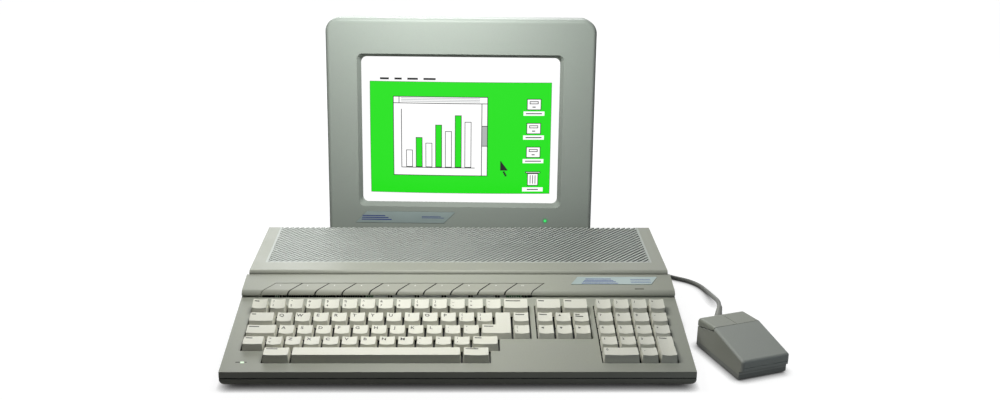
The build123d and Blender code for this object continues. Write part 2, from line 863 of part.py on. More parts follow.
def key_cap(back_row, front_row, left, right, stems=(0.5,), dish=None):
    """One hollow rectangular cap, dished or flat, with stems at shares of its width."""
    if dish is None:
        dish = key_dish if right - left < wide_key_columns else wide_key_dish
    x0, x1 = column_left(left), column_left(right)
    front, back = row_front(front_row), row_back(back_row)
    top_plane = cap_top_plane(back_row, front_row)
    reach = (back - front - key_top_back_inset - (key_pitch - key_top_back_inset - key_top_depth)) / 2

    def base(inset):
        return [
            (x0 + inset, front + inset),
            (x1 - inset, front + inset),
            (x1 - inset, back - inset),
            (x0 + inset, back - inset),
        ]

    def top(inset, shrink):
        return [
            (x0 + inset, -reach + shrink),
            (x1 - inset, -reach + shrink),
            (x1 - inset, reach - shrink),
            (x0 + inset, reach - shrink),
        ]

    with BuildPart() as cap:
        add(cap_body(base(key_base_inset), top(key_top_side_inset, 0), top_plane, 0))
        inner_base = base(key_base_inset + key_wall)
        inner_top = top(key_top_side_inset + key_wall, key_wall)
        add(cap_body(inner_base, inner_top, top_plane, key_wall + dish), mode=Mode.SUBTRACT)
        if dish:
            add(finger_dish(x0, x1, top_plane, dish), mode=Mode.SUBTRACT)
        with BuildSketch(deck.offset(plate_bottom)):
            for share in stems:
                with Locations((x0 + (x1 - x0) * share, (front + back) / 2)):
                    Circle(key_stem_radius)
        middle = (key_back_heights[back_row] + key_front_heights[front_row]) / 2
        extrude(amount=middle - dish - key_wall / 2 - plate_bottom)
    return cap.part


def stepped_cap():
    """The return cap, one column wide behind and wider in front."""
    x0, x1, x2 = (column_left(column) for column in return_key_columns)
    front, middle, back = row_front(3), row_back(3), row_back(2)
    top_plane = cap_top_plane(2, 3)
    origin = top_plane.origin

    def outline(side, front_inset, back_inset, at_top):
        corners = [
            (x0 + side, front + front_inset),
            (x2 - side, front + front_inset),
            (x2 - side, back - back_inset),
            (x1 + side, back - back_inset),
            (x1 + side, middle - back_inset),
            (x0 + side, middle - back_inset),
        ]
        if not at_top:
            return corners
        level = deck.to_local_coords(origin).Y
        return [(x, y - level) for x, y in corners]

    front_inset = key_pitch - key_top_back_inset - key_top_depth
    with BuildPart() as cap:
        outer_base = outline(key_base_inset, key_base_inset, key_base_inset, False)
        outer_top = outline(key_top_side_inset, front_inset, key_top_back_inset, True)
        add(cap_body(outer_base, outer_top, top_plane, 0))
        inset = key_base_inset + key_wall
        inner_base = outline(inset, inset, inset, False)
        side = key_top_side_inset + key_wall
        inner_top = outline(side, front_inset + key_wall, key_top_back_inset + key_wall, True)
        add(cap_body(inner_base, inner_top, top_plane, key_wall + wide_key_dish), mode=Mode.SUBTRACT)
        add(finger_dish(x0, x2, top_plane, wide_key_dish), mode=Mode.SUBTRACT)
        with BuildSketch(deck.offset(plate_bottom)):
            with Locations(((x0 + x2) / 2, (front + middle) / 2)):
                Circle(key_stem_radius)
        extrude(amount=-plate_bottom + key_front_heights[3] - wide_key_dish - key_wall / 2)
    return cap.part


def cap_run(row, columns):
    """Caps of one row side by side, between each pair of neighbouring columns."""
    return [key_cap(row, row, left, right) for left, right in zip(columns[:-1], columns[1:])]


unit_columns = [float(column) for column in range(15)]
return_key_columns = (12.75, 13.5, 14.5)
space_stems = (0.2, 0.5, 0.8)

key_groups = {
    "number_row_keys": cap_run(1, unit_columns + [15.5]),
    "top_letter_keys": cap_run(2, [0.0] + [column + 1.5 for column in unit_columns[:13]])
    + [key_cap(2, 2, 14.5, 15.5)],
    "home_letter_keys": cap_run(3, [0.0] + [column + 1.75 for column in unit_columns[:12]])
    + [key_cap(3, 3, 14.5, 15.5)],
    "bottom_letter_keys": cap_run(4, [column + 1.25 for column in unit_columns[:12]]),
    "cursor_keys": cap_run(1, [15.75, 17.25, 18.75])
    + cap_run(2, [15.75, 16.75, 17.75, 18.75])
    + cap_run(3, [15.75, 16.75, 17.75, 18.75]),
    "keypad_keys": cap_run(1, [19.0, 20.0, 21.0, 22.0, 23.0])
    + cap_run(2, [19.0, 20.0, 21.0, 22.0, 23.0])
    + cap_run(3, [19.0, 20.0, 21.0, 22.0, 23.0])
    + cap_run(4, [19.0, 20.0, 21.0, 22.0])
    + cap_run(5, [19.0, 21.0, 22.0]),
    "left_shift_key": [key_cap(4, 4, 0.0, 1.25)],
    "right_shift_key": [key_cap(4, 4, 12.25, 13.75)],
    "alternate_key": [key_cap(5, 5, 1.25, 2.75)],
    "space_bar": [key_cap(5, 5, 2.75, 11.75, space_stems, dish=0)],
    "caps_lock_key": [key_cap(5, 5, 11.75, 13.25)],
    "enter_key": [key_cap(4, 5, 22.0, 23.0)],
    "return_key": [stepped_cap()],
}

for group_name, caps in key_groups.items():
    with BuildPart() as key_group:
        add(caps)
    key_group.part.label = group_name
    export_step(key_group.part, "parts/" + group_name + ".step")

# The same places for the holes of the plate: each stem of each group
stem_places = []
for caps in key_groups.values():
    for cap in caps:
        for face in cap.faces().filter_by(GeomType.PLANE):
            local = deck.to_local_coords(face.center())
            if abs(local.Z - plate_bottom) < 0.01:
                stem_places.append((local.X, local.Y))


def function_key_block(shrink):
    """The ten slanted caps as solid blocks, shaped like the band that they sit in."""
    front = deck_depth + function_key_gap / 2 + shrink
    back = deck_depth + function_key_depth - function_key_gap - shrink
    bottom = deck_back_height + shadow_groove_height - 2 * shrink
    with BuildPart() as block:
        with BuildSketch(unit_side):
            with BuildLine():
                Polyline(
                    (front, bottom),
                    (front, band_front_height + (front - deck_depth) * tan(deck_slope) - shrink),
                    (back, band_front_height + (back - deck_depth) * tan(deck_slope) - shrink),
                    (back, bottom),
                    close=True,
                )
            profile = make_face()
            nose = profile.vertices().sort_by_distance((front, band_front_height))[0]
            fillet(nose, band_nose_radius - function_key_gap / 2 - shrink)
        extrude(amount=half_width, both=True)
        with BuildSketch(unit.offset(floor_top)):
            for index in range(function_key_count):
                left = function_key_first + index * function_key_pitch + function_key_gap / 2 + shrink
                right = left + function_key_pitch - function_key_gap - 2 * shrink
                slanted_outline(left, right, 0, case_depth)
        extrude(amount=rear_height, mode=Mode.INTERSECT)
    return block.part


with BuildPart() as function_keys:
    add(function_key_block(0))
    add(function_key_block(function_key_wall), mode=Mode.SUBTRACT)
    with BuildSketch(deck.offset(key_board_top + key_travel)):
        middle = deck_depth + function_key_depth / 2
        up = middle / cos(deck_slope) + band_rise * sin(deck_slope)
        first = function_key_first + (function_key_pitch + function_key_slant) / 2
        for index in range(function_key_count):
            with Locations((first + index * function_key_pitch, up)):
                Circle(function_key_stem_radius)
    extrude(amount=band_rise * cos(deck_slope) - function_key_wall / 2 - key_board_top - key_travel)

function_keys.part.label = "function_keys"
export_step(function_keys.part, "parts/function_keys.step")

keyboard_width = key_area_width + 2 * plate_margin
plate_depth = row_back(1) - row_front(5) + 2 * plate_margin

with BuildPart() as keyboard_plate:
    with BuildSketch(deck.offset(plate_bottom)):
        with Locations((0, (row_back(1) + row_front(5)) / 2)):
            Rectangle(keyboard_width, plate_depth)
        with Locations(*stem_places):
            Circle(key_stem_radius + key_stem_clearance, mode=Mode.SUBTRACT)
    extrude(amount=plate_thickness)
    # Spacers between the plate and the board, in the gaps between the key blocks
    with BuildSketch(deck.offset(key_board_top)):
        for column, row in spacer_places:
            with Locations((column_left(column), (row_back(row) + row_front(row)) / 2)):
                Circle(spacer_radius)
    extrude(amount=key_board_drop)

keyboard_plate.part.label = "keyboard_plate"
export_step(keyboard_plate.part, "parts/keyboard_plate.step")

with BuildPart() as keyboard_pcb:
    with BuildSketch(deck.offset(key_board_bottom)):
        front = row_front(5) - plate_margin
        with Locations((0, (front + keyboard_back) / 2)):
            Rectangle(keyboard_width, keyboard_back - front)
    extrude(amount=key_board_thickness)

keyboard_pcb.part.label = "keyboard_pcb"
export_step(keyboard_pcb.part, "parts/keyboard_pcb.step")
# ---------------------------------------------------------------------------------
# Keyboard unit: boards, power supply, connectors and small parts
# ---------------------------------------------------------------------------------

board_top = board_height + board_thickness
board_middle = (board_front + board_back) / 2

with BuildPart() as mainboard:
    with BuildSketch(unit.offset(board_height)):
        with Locations((0, board_middle)):
            Rectangle(case_width - 2 * board_margin, board_back - board_front)
        # The board stays clear of the ports' recess
        recess_gap = 2 * (recess_wall + socket_clearance)
        with Locations((half_width, recess_middle)):
            notch_width = 2 * (recess_depth + recess_gap)
            Rectangle(notch_width, recess_length + recess_gap, mode=Mode.SUBTRACT)
        with Locations((0, pillar_from_front)):
            with GridLocations(pillar_pitch_x, pillar_pitch_y, 4, 2):
                Circle(screw_radius + shaft_clearance, mode=Mode.SUBTRACT)
    extrude(amount=board_thickness)
    with BuildSketch(unit.offset(board_top)):
        with Locations((shield_place, shield_from_front)):
            with GridLocations(chip_pitch, chip_length * 1.6, 8, 2):
                Rectangle(chip_width, chip_length)
    extrude(amount=chip_height)

mainboard.part.label = "mainboard"
export_step(mainboard.part, "parts/mainboard.step")

with BuildPart() as rf_shield:
    with BuildSketch(unit.offset(board_top)):
        with Locations((shield_place, shield_from_front)):
            Rectangle(shield_width, shield_depth)
    extrude(amount=shield_height)
    with BuildSketch(unit.offset(board_top)):
        with Locations((shield_place, shield_from_front)):
            Rectangle(shield_width - 2 * shield_thickness, shield_depth - 2 * shield_thickness)
    extrude(amount=shield_height - shield_thickness, mode=Mode.SUBTRACT)

rf_shield.part.label = "rf_shield"
export_step(rf_shield.part, "parts/rf_shield.step")

with BuildPart() as power_supply:
    with BuildSketch(unit.offset(board_top + supply_gap)):
        with Locations((supply_place, supply_from_front)):
            Rectangle(supply_width, supply_depth)
    extrude(amount=supply_height)
    fillet(power_supply.edges().filter_by(Axis.Z), case_wall)

power_supply.part.label = "power_supply"
export_step(power_supply.part, "parts/power_supply.step")

with BuildPart() as rear_sockets:
    # Round sockets, each with a raised key block in a round recess
    for place in round_socket_places:
        with BuildSketch(unit_rear.offset(-socket_proud)):
            with Locations((place, socket_height)):
                Circle(round_socket_radius)
        extrude(amount=socket_depth + socket_proud)
        with BuildSketch(unit_rear.offset(-socket_proud)):
            with Locations((place, socket_height)):
                Circle(round_socket_radius * 0.8)
                Rectangle(round_socket_radius * 0.4, round_socket_radius * 0.6, mode=Mode.SUBTRACT)
        extrude(amount=socket_depth * 0.75, mode=Mode.SUBTRACT)
    # Wide sockets, each a shell around a tongue
    for place, width in wide_sockets:
        with BuildSketch(unit_rear.offset(-socket_proud)):
            with Locations((place, socket_height)):
                Rectangle(width, wide_socket_height)
        extrude(amount=socket_depth + socket_proud)
        with BuildSketch(unit_rear.offset(-socket_proud)):
            with Locations((place, socket_height)):
                Rectangle(width - 2 * inlet_wall, wide_socket_height - 2 * inlet_wall)
                Rectangle(width - 6 * inlet_wall, wide_socket_height / 3, mode=Mode.SUBTRACT)
        extrude(amount=socket_depth * 0.75, mode=Mode.SUBTRACT)
    # Mains inlet of the keyboard unit, with its three pins
    with BuildSketch(unit_rear.offset(-socket_proud)):
        with Locations((inlet_place, socket_height)):
            Rectangle(inlet_width, inlet_height)
    extrude(amount=inlet_depth + socket_proud)
    with BuildSketch(unit_rear.offset(-socket_proud)):
        with Locations((inlet_place, socket_height)):
            Rectangle(inlet_width - 2 * inlet_wall, inlet_height - 2 * inlet_wall)
            for side in (-1, 1):
                with Locations((side * inlet_pin_pitch, -inlet_pin_drop)):
                    Rectangle(inlet_pin_width, inlet_pin_height, mode=Mode.SUBTRACT)
            with Locations((0, inlet_pin_height / 2)):
                Rectangle(inlet_pin_width, inlet_pin_height, mode=Mode.SUBTRACT)
    extrude(amount=inlet_depth - inlet_wall, mode=Mode.SUBTRACT)
    # The monitor's own mains inlet and its picture socket
    with BuildSketch(monitor_rear.offset(socket_proud)):
        with Locations((-monitor_socket_spacing / 2, monitor_socket_height)):
            Rectangle(inlet_width, inlet_height)
        with Locations((monitor_socket_spacing / 2, monitor_socket_height)):
            Circle(round_socket_radius)
    extrude(amount=-(socket_depth + socket_proud))
    with BuildSketch(monitor_rear.offset(socket_proud)):
        with Locations((-monitor_socket_spacing / 2, monitor_socket_height)):
            Rectangle(inlet_width - 2 * inlet_wall, inlet_height - 2 * inlet_wall)
        with Locations((monitor_socket_spacing / 2, monitor_socket_height)):
            Circle(round_socket_radius * 0.8)
    extrude(amount=-(socket_depth - inlet_wall), mode=Mode.SUBTRACT)

rear_sockets.part.label = "rear_sockets"
export_step(rear_sockets.part, "parts/rear_sockets.step")

# The rocker turns about the middle of its opening, with one half pressed in at rest
rocker_pivot = Plane(
    origin=(unit_x + switch_place, unit_y + case_depth - switch_pivot_depth, socket_height),
    x_dir=(0, cos(radians(rocker_angle / 2)), sin(radians(rocker_angle / 2))),
    z_dir=(1, 0, 0),
)
rocker_reach = switch_opening_height / 2 - 3 * switch_clearance

with BuildPart() as power_switch:
    with BuildSketch(rocker_pivot):
        Polygon(
            (-switch_pivot_depth, -rocker_reach / 2),
            (switch_pivot_depth + rocker_reach * tan(radians(rocker_angle / 2)), -rocker_reach),
            (switch_pivot_depth, 0),
            (switch_pivot_depth + rocker_reach * tan(radians(rocker_angle / 2)), rocker_reach),
            (-switch_pivot_depth, rocker_reach / 2),
            align=None,
        )
    extrude(amount=switch_width / 2 - switch_clearance, both=True)
    with BuildSketch(rocker_pivot):
        Circle(switch_pin_radius)
    extrude(amount=switch_width / 2 - switch_clearance + switch_pin_proud, both=True)

power_switch.part.label = "power_switch"
export_step(power_switch.part, "parts/power_switch.step")

with BuildPart() as reset_button:
    with BuildSketch(unit_rear.offset(-reset_proud)):
        with Locations((reset_place, socket_height)):
            Circle(reset_radius)
    extrude(amount=reset_proud + socket_depth)
    chamfer(reset_button.edges().group_by(Axis.Y)[-1], 0.4)

reset_button.part.label = "reset_button"
export_step(reset_button.part, "parts/reset_button.step")

with BuildPart() as cartridge_socket:
    opening_gap = socket_clearance
    with BuildSketch(unit.offset(cartridge_floor + opening_gap)):
        with Locations((-half_width + rear_inset + cartridge_depth / 2, cartridge_from_front)):
            Rectangle(cartridge_depth, cartridge_width - 2 * opening_gap)
    extrude(amount=cartridge_height - 2 * opening_gap)
    with BuildSketch(unit.offset(cartridge_floor + opening_gap + cartridge_wall)):
        open_middle = -half_width + rear_inset + cartridge_depth / 2 - cartridge_wall
        with Locations((open_middle, cartridge_from_front)):
            Rectangle(cartridge_depth, cartridge_width - 2 * opening_gap - 2 * cartridge_wall)
    extrude(amount=cartridge_height - 2 * opening_gap - 2 * cartridge_wall, mode=Mode.SUBTRACT)

cartridge_socket.part.label = "cartridge_socket"
export_step(cartridge_socket.part, "parts/cartridge_socket.step")

port_face = unit_side.offset(recess_left)

with BuildPart() as mouse_ports:
    with BuildSketch(port_face):
        with Locations((recess_middle, port_axis_height)):
            with GridLocations(port_pitch, 0, 2, 1):
                Rectangle(port_width, port_height)
    extrude(amount=port_flange)
    with BuildSketch(port_face.offset(-recess_wall)):
        with Locations((recess_middle, port_axis_height)):
            with GridLocations(port_pitch, 0, 2, 1):
                Rectangle(port_shell_width - 2 * socket_clearance, port_shell_height - 2 * socket_clearance)
    extrude(amount=recess_wall)
    with BuildSketch(port_face.offset(port_flange)):
        with Locations((recess_middle, port_axis_height)):
            with GridLocations(port_pitch, 0, 2, 1):
                Rectangle(port_shell_width, port_shell_height)
    extrude(amount=port_shell_depth)
    with BuildSketch(port_face.offset(port_flange)):
        with Locations((recess_middle, port_axis_height)):
            with GridLocations(port_pitch, 0, 2, 1):
                Rectangle(port_shell_width - 2 * port_shell_wall, port_shell_height - 2 * port_shell_wall)
    extrude(amount=port_shell_depth, mode=Mode.SUBTRACT)

mouse_ports.part.label = "mouse_ports"
export_step(mouse_ports.part, "parts/mouse_ports.step")

with BuildPart() as rubber_feet:
    with BuildSketch(unit):
        with Locations((0, case_depth / 2)):
            with GridLocations(case_width - 2 * foot_from_edge, case_depth - 2 * foot_from_edge, 2, 2):
                Circle(foot_radius)
    extrude(amount=foot_height)
    with BuildSketch(monitor):
        with Locations((0, stand_setback + stand_depth / 2)):
            inset = 2 * monitor_foot_inset
            with GridLocations(stand_width - inset, stand_depth - inset, 2, 2):
                Circle(monitor_foot_radius)
    extrude(amount=monitor_foot_height)

rubber_feet.part.label = "rubber_feet"
export_step(rubber_feet.part, "parts/rubber_feet.step")

with BuildPart() as indicator_leds:
    with BuildSketch(deck.offset(led_proud)):
        with Locations((-half_width + led_from_left, led_from_front)):
            Rectangle(led_width, led_depth)
    extrude(amount=-led_height)
    with BuildSketch(band):
        with Locations(band_point(drive_light_place, drive_light_from_front)):
            Rectangle(drive_light_width, drive_light_depth)
    extrude(amount=-led_height)
    with BuildSketch(monitor_face.offset(led_proud)):
        with Locations((monitor_led_place, bezel_low + monitor_led_above_bottom)):
            Circle(monitor_led_radius)
    extrude(amount=-led_height)

indicator_leds.part.label = "indicator_leds"
export_step(indicator_leds.part, "parts/indicator_leds.step")

with BuildPart() as badge_plates:
    with BuildSketch(band.offset(-badge_sink)):
        badge_outline(0)
    extrude(amount=badge_thickness)
    with BuildSketch(monitor_face.offset(-badge_sink)):
        monitor_badge_outline(0)
    extrude(amount=badge_thickness)

badge_plates.part.label = "badge_plates"
export_step(badge_plates.part, "parts/badge_plates.step")

# ---------------------------------------------------------------------------------
# Floppy disk drive
# ---------------------------------------------------------------------------------

frame_right = bezel_face - bezel_plate
frame_left = frame_right - drive_length
frame_floor = drive_floor + drive_wall
hub_place = (bezel_face - hub_setback, drive_from_front)
screw_y = drive_from_front + rotor_radius + 3 * leadscrew_radius
screw_z = frame_floor + motor_radius + bezel_clearance
head_right = bezel_face - head_setback + head_length / 2
screw_right = head_right + head_travel + head_length / 2

with BuildPart() as drive_frame:
    with BuildSketch(unit.offset(drive_floor)):
        with Locations(((frame_left + frame_right) / 2, drive_from_front)):
            Rectangle(drive_length, drive_width)
    extrude(amount=drive_height)
    with BuildSketch(unit.offset(frame_floor)):
        with Locations(((frame_left + frame_right) / 2 + drive_wall, drive_from_front)):
            Rectangle(drive_length, drive_width - 2 * drive_wall)
    extrude(amount=drive_height, mode=Mode.SUBTRACT)
    # Bearing of the spindle
    with BuildSketch(unit.offset(drive_floor)):
        with Locations(hub_place):
            Circle(hub_shaft_radius + shaft_clearance)
    extrude(amount=drive_wall, mode=Mode.SUBTRACT)
    # Stepper motor and the far bearing of its lead screw
    with BuildSketch(unit_side.offset(frame_left + drive_wall)):
        with Locations((screw_y, screw_z)):
            Circle(motor_radius)
    extrude(amount=motor_length)
    with BuildSketch(unit_side.offset(screw_right)):
        with Locations((screw_y, (screw_z + frame_floor) / 2 + leadscrew_radius)):
            Rectangle(3 * leadscrew_radius, screw_z - frame_floor + 2 * leadscrew_radius)
    extrude(amount=drive_wall)
    with BuildSketch(unit_side.offset(frame_left + drive_wall + motor_length / 2)):
        with Locations((screw_y, screw_z)):
            Circle(leadscrew_radius + shaft_clearance)
    extrude(amount=screw_right + drive_wall - frame_left, mode=Mode.SUBTRACT)

drive_frame.part.label = "drive_frame"
export_step(drive_frame.part, "parts/drive_frame.step")

with BuildPart() as head_leadscrew:
    with BuildSketch(unit_side.offset(frame_left + drive_wall + motor_length / 2)):
        with Locations((screw_y, screw_z)):
            Circle(leadscrew_radius)
    extrude(amount=screw_right + drive_wall / 2 - frame_left - drive_wall - motor_length / 2)

head_leadscrew.part.label = "head_leadscrew"
export_step(head_leadscrew.part, "parts/head_leadscrew.step")

with BuildPart() as head_carriage:
    with BuildSketch(unit_side.offset(head_right - head_length)):
        with Locations((drive_from_front, screw_z)):
            Rectangle(head_width, head_height)
        with Locations(((drive_from_front + screw_y) / 2, screw_z)):
            Rectangle(screw_y - drive_from_front + 4 * leadscrew_radius, 4 * leadscrew_radius)
        with Locations((screw_y, screw_z)):
            Circle(leadscrew_radius + shaft_clearance, mode=Mode.SUBTRACT)
    extrude(amount=head_length)

head_carriage.part.label = "head_carriage"
export_step(head_carriage.part, "parts/head_carriage.step")

rotor_bottom = frame_floor + bezel_clearance

with BuildPart() as drive_spindle:
    with BuildSketch(unit.offset(drive_floor)):
        with Locations(hub_place):
            Circle(hub_shaft_radius)
    extrude(amount=drive_wall + bezel_clearance)
    with BuildSketch(unit.offset(rotor_bottom)):
        with Locations(hub_place):
            Circle(rotor_radius)
    extrude(amount=rotor_thickness)
    with BuildSketch(unit.offset(rotor_bottom + rotor_thickness)):
        with Locations(hub_place):
            Circle(hub_radius)
            with Locations((hub_radius / 2, 0)):
                Rectangle(hub_shaft_radius, hub_shaft_radius, mode=Mode.SUBTRACT)
    extrude(amount=hub_height)

drive_spindle.part.label = "drive_spindle"
export_step(drive_spindle.part, "parts/drive_spindle.step")

with BuildPart() as drive_bezel:
    with BuildSketch(unit_side.offset(frame_right)):
        with Locations((drive_from_front, drive_floor + drive_height / 2)):
            Rectangle(drive_width, drive_height)
        with Locations((drive_from_front, drive_floor + disk_plane)):
            Rectangle(disk_slot_width, disk_slot_height, mode=Mode.SUBTRACT)
        with Locations((drive_from_front + eject_offset, drive_floor + eject_from_floor)):
            gap = 2 * bezel_clearance
            Rectangle(eject_width + gap, eject_height + gap, mode=Mode.SUBTRACT)
    extrude(amount=bezel_plate)

drive_bezel.part.label = "drive_bezel"
export_step(drive_bezel.part, "parts/drive_bezel.step")

with BuildPart() as eject_button:
    with BuildSketch(unit_side.offset(frame_right - eject_travel)):
        with Locations((drive_from_front + eject_offset, drive_floor + eject_from_floor)):
            Rectangle(eject_width, eject_height)
    extrude(amount=eject_travel + bezel_plate + eject_proud)
    chamfer(eject_button.edges().group_by(Axis.X)[-1], 0.5)

eject_button.part.label = "eject_button"
export_step(eject_button.part, "parts/eject_button.step")
# ---------------------------------------------------------------------------------
# Monitor
# ---------------------------------------------------------------------------------

bezel_middle = bezel_low + bezel_height / 2
screen_middle = (screen_shift, bezel_low + screen_open_bottom + screen_open_height / 2)
cabinet_width = bezel_width - 2 * cabinet_inset
cabinet_height = bezel_height - 2 * cabinet_inset


def screen_outline(grow):
    """Draws the screen's opening, grown by a margin."""
    with Locations(screen_middle):
        RectangleRounded(
            screen_open_width + 2 * grow, screen_open_height + 2 * grow, screen_open_radius + max(grow, 0)
        )


with BuildPart() as monitor_bezel:
    with BuildSketch(monitor_face):
        with Locations((0, bezel_middle)):
            RectangleRounded(bezel_width, bezel_height, bezel_corner_radius)
    extrude(amount=-bezel_depth)
    rim = [edge for edge in monitor_bezel.edges() if abs(monitor_face.to_local_coords(edge @ 0.5).Z) < 0.01]
    fillet(rim, bezel_edge_radius)
    with BuildSketch(monitor_face.offset(-bezel_wall)):
        with Locations((0, bezel_middle)):
            hollow_width = bezel_width - 2 * bezel_wall
            hollow_height = bezel_height - 2 * bezel_wall
            RectangleRounded(hollow_width, hollow_height, bezel_corner_radius - bezel_wall)
    extrude(amount=bezel_wall - bezel_depth, mode=Mode.SUBTRACT)
    # The reveal tapers inwards to the glass
    with BuildSketch(monitor_face.offset(-bezel_wall / 2)):
        screen_outline(bezel_wall)
    with BuildSketch(monitor_face.offset(-screen_reveal)):
        screen_outline(bezel_wall - screen_reveal_inset)
    loft(ruled=True)
    with BuildSketch(monitor_face):
        screen_outline(0)
    with BuildSketch(monitor_face.offset(-screen_reveal)):
        screen_outline(-screen_reveal_inset)
    loft(ruled=True, mode=Mode.SUBTRACT)
    # Seat of the badge plate and hole of the power light
    with BuildSketch(monitor_face):
        monitor_badge_outline(socket_clearance)
    extrude(amount=-badge_sink, mode=Mode.SUBTRACT)
    with BuildSketch(monitor_face):
        with Locations((monitor_led_place, bezel_low + monitor_led_above_bottom)):
            Circle(monitor_led_radius + shaft_clearance)
    extrude(amount=-2 * bezel_wall, mode=Mode.SUBTRACT)

monitor_bezel.part.label = "monitor_bezel"
export_step(monitor_bezel.part, "parts/monitor_bezel.step")


def cabinet_block(wall):
    """The tapering body behind the bezel, drawn in by a wall on every side but the front."""
    with BuildPart() as block:
        with BuildSketch(monitor_face.offset(-bezel_depth)):
            with Locations((0, bezel_middle)):
                RectangleRounded(cabinet_width - 2 * wall, cabinet_height - 2 * wall, cabinet_radius - wall)
        with BuildSketch(monitor_rear.offset(-wall)):
            with Locations((0, cabinet_rear_bottom + cabinet_rear_height / 2)):
                rear_width = cabinet_rear_width - 2 * wall
                RectangleRounded(rear_width, cabinet_rear_height - 2 * wall, cabinet_radius - wall)
        loft(ruled=True)
    return block.part


control_plane = Plane(
    origin=monitor.from_local_coords((0, control_setback, 0)),
    x_dir=monitor.y_dir,
    z_dir=monitor.x_dir,
)

with BuildPart() as monitor_cabinet:
    add(cabinet_block(0))
    add(cabinet_block(cabinet_wall), mode=Mode.SUBTRACT)
    # Ventilation slots in the roof
    with BuildSketch(monitor.offset(bezel_bottom + bezel_height)):
        with Locations((0, cabinet_slot_setback)):
            with GridLocations(cabinet_slot_pitch, cabinet_slot_length * 1.3, cabinet_slot_count, 2):
                Rectangle(cabinet_slot_width, cabinet_slot_length)
    extrude(amount=-bezel_height / 3, mode=Mode.SUBTRACT)
    # Openings for the sockets at the back
    with BuildSketch(monitor_rear):
        with Locations((-monitor_socket_spacing / 2, monitor_socket_height)):
            Rectangle(inlet_width + 2 * socket_clearance, inlet_height + 2 * socket_clearance)
        with Locations((monitor_socket_spacing / 2, monitor_socket_height)):
            Circle(round_socket_radius + socket_clearance)
    extrude(amount=-2 * cabinet_wall, mode=Mode.SUBTRACT)
    # Holes for the knobs and the power button in the right side
    with BuildSketch(control_plane):
        with Locations((0, knob_height), (0, knob_height + knob_pitch)):
            Circle(knob_shaft_radius + shaft_clearance)
        with Locations((0, knob_height - power_button_drop)):
            gap = 2 * switch_clearance
            Rectangle(power_button_width + gap, power_button_height + gap)
    extrude(amount=bezel_width, mode=Mode.SUBTRACT)

monitor_cabinet.part.label = "monitor_cabinet"
export_step(monitor_cabinet.part, "parts/monitor_cabinet.step")

with BuildPart() as monitor_stand:
    with BuildSketch(monitor.offset(monitor_foot_height)):
        with Locations((0, stand_setback + stand_depth / 2)):
            RectangleRounded(stand_width, stand_depth, stand_radius)
    extrude(amount=cabinet_rear_bottom)
    with BuildSketch(monitor_face):
        with Locations((0, bezel_middle)):
            RectangleRounded(bezel_width, bezel_height, bezel_corner_radius)
    extrude(amount=-bezel_depth, mode=Mode.SUBTRACT)
    add(cabinet_block(0), mode=Mode.SUBTRACT)
    # Open below, with a wall all round
    with BuildSketch(monitor.offset(monitor_foot_height)):
        with Locations((0, stand_setback + stand_depth / 2)):
            wall = 2 * cabinet_wall
            RectangleRounded(stand_width - wall, stand_depth - wall, stand_radius - cabinet_wall)
            inset = 2 * monitor_foot_inset
            with GridLocations(stand_width - inset, stand_depth - inset, 2, 2):
                Circle(monitor_foot_radius, mode=Mode.SUBTRACT)
    extrude(amount=bezel_bottom - monitor_foot_height - 3 * cabinet_wall, mode=Mode.SUBTRACT)

monitor_stand.part.label = "monitor_stand"
export_step(monitor_stand.part, "parts/monitor_stand.step")

# The bulging glass comes forward into the opening only as far as the opening's height lets it
opening_reach = screen_open_height / 2 - screen_reveal_inset
bulge_in_opening = 4 * tube_bulge * opening_reach**2 / (tube_face_width**2 + tube_face_height**2)
tube_front = screen_reveal + tube_bulge - bulge_in_opening + socket_clearance
glass_back = tube_front + tube_face_thickness
throat_back = glass_back + tube_cone_depth
bulge_radius = (tube_face_width**2 + tube_face_height**2) / (8 * tube_bulge)

dome_centre = monitor_face.from_local_coords((*screen_middle, -tube_front + tube_bulge - bulge_radius))
dome = Pos(dome_centre) * Sphere(bulge_radius)

with BuildPart() as picture_tube:
    with BuildSketch(monitor_face.offset(tube_bulge - tube_front)):
        with Locations(screen_middle):
            RectangleRounded(tube_face_width, tube_face_height, cabinet_radius)
    extrude(amount=tube_front - tube_bulge - glass_back)
    add(dome, mode=Mode.INTERSECT)
    with BuildSketch(monitor_face.offset(-glass_back)):
        with Locations(screen_middle):
            RectangleRounded(tube_face_width - tube_throat, tube_face_height - tube_throat, cabinet_radius)
    with BuildSketch(monitor_face.offset(-throat_back)):
        with Locations(screen_middle):
            RectangleRounded(tube_throat, tube_throat, tube_throat / 2 - shaft_clearance)
    loft(ruled=True)
    with BuildSketch(monitor_face.offset(-throat_back)):
        with Locations(screen_middle):
            Circle(tube_neck_radius)
    extrude(amount=-tube_neck_length)

picture_tube.part.label = "picture_tube"
export_step(picture_tube.part, "parts/picture_tube.step")

with BuildPart() as deflection_yoke:
    with BuildSketch(monitor_face.offset(-throat_back)):
        with Locations(screen_middle):
            Circle(yoke_radius)
            Circle(tube_neck_radius + yoke_clearance, mode=Mode.SUBTRACT)
    extrude(amount=-yoke_length)

deflection_yoke.part.label = "deflection_yoke"
export_step(deflection_yoke.part, "parts/deflection_yoke.step")

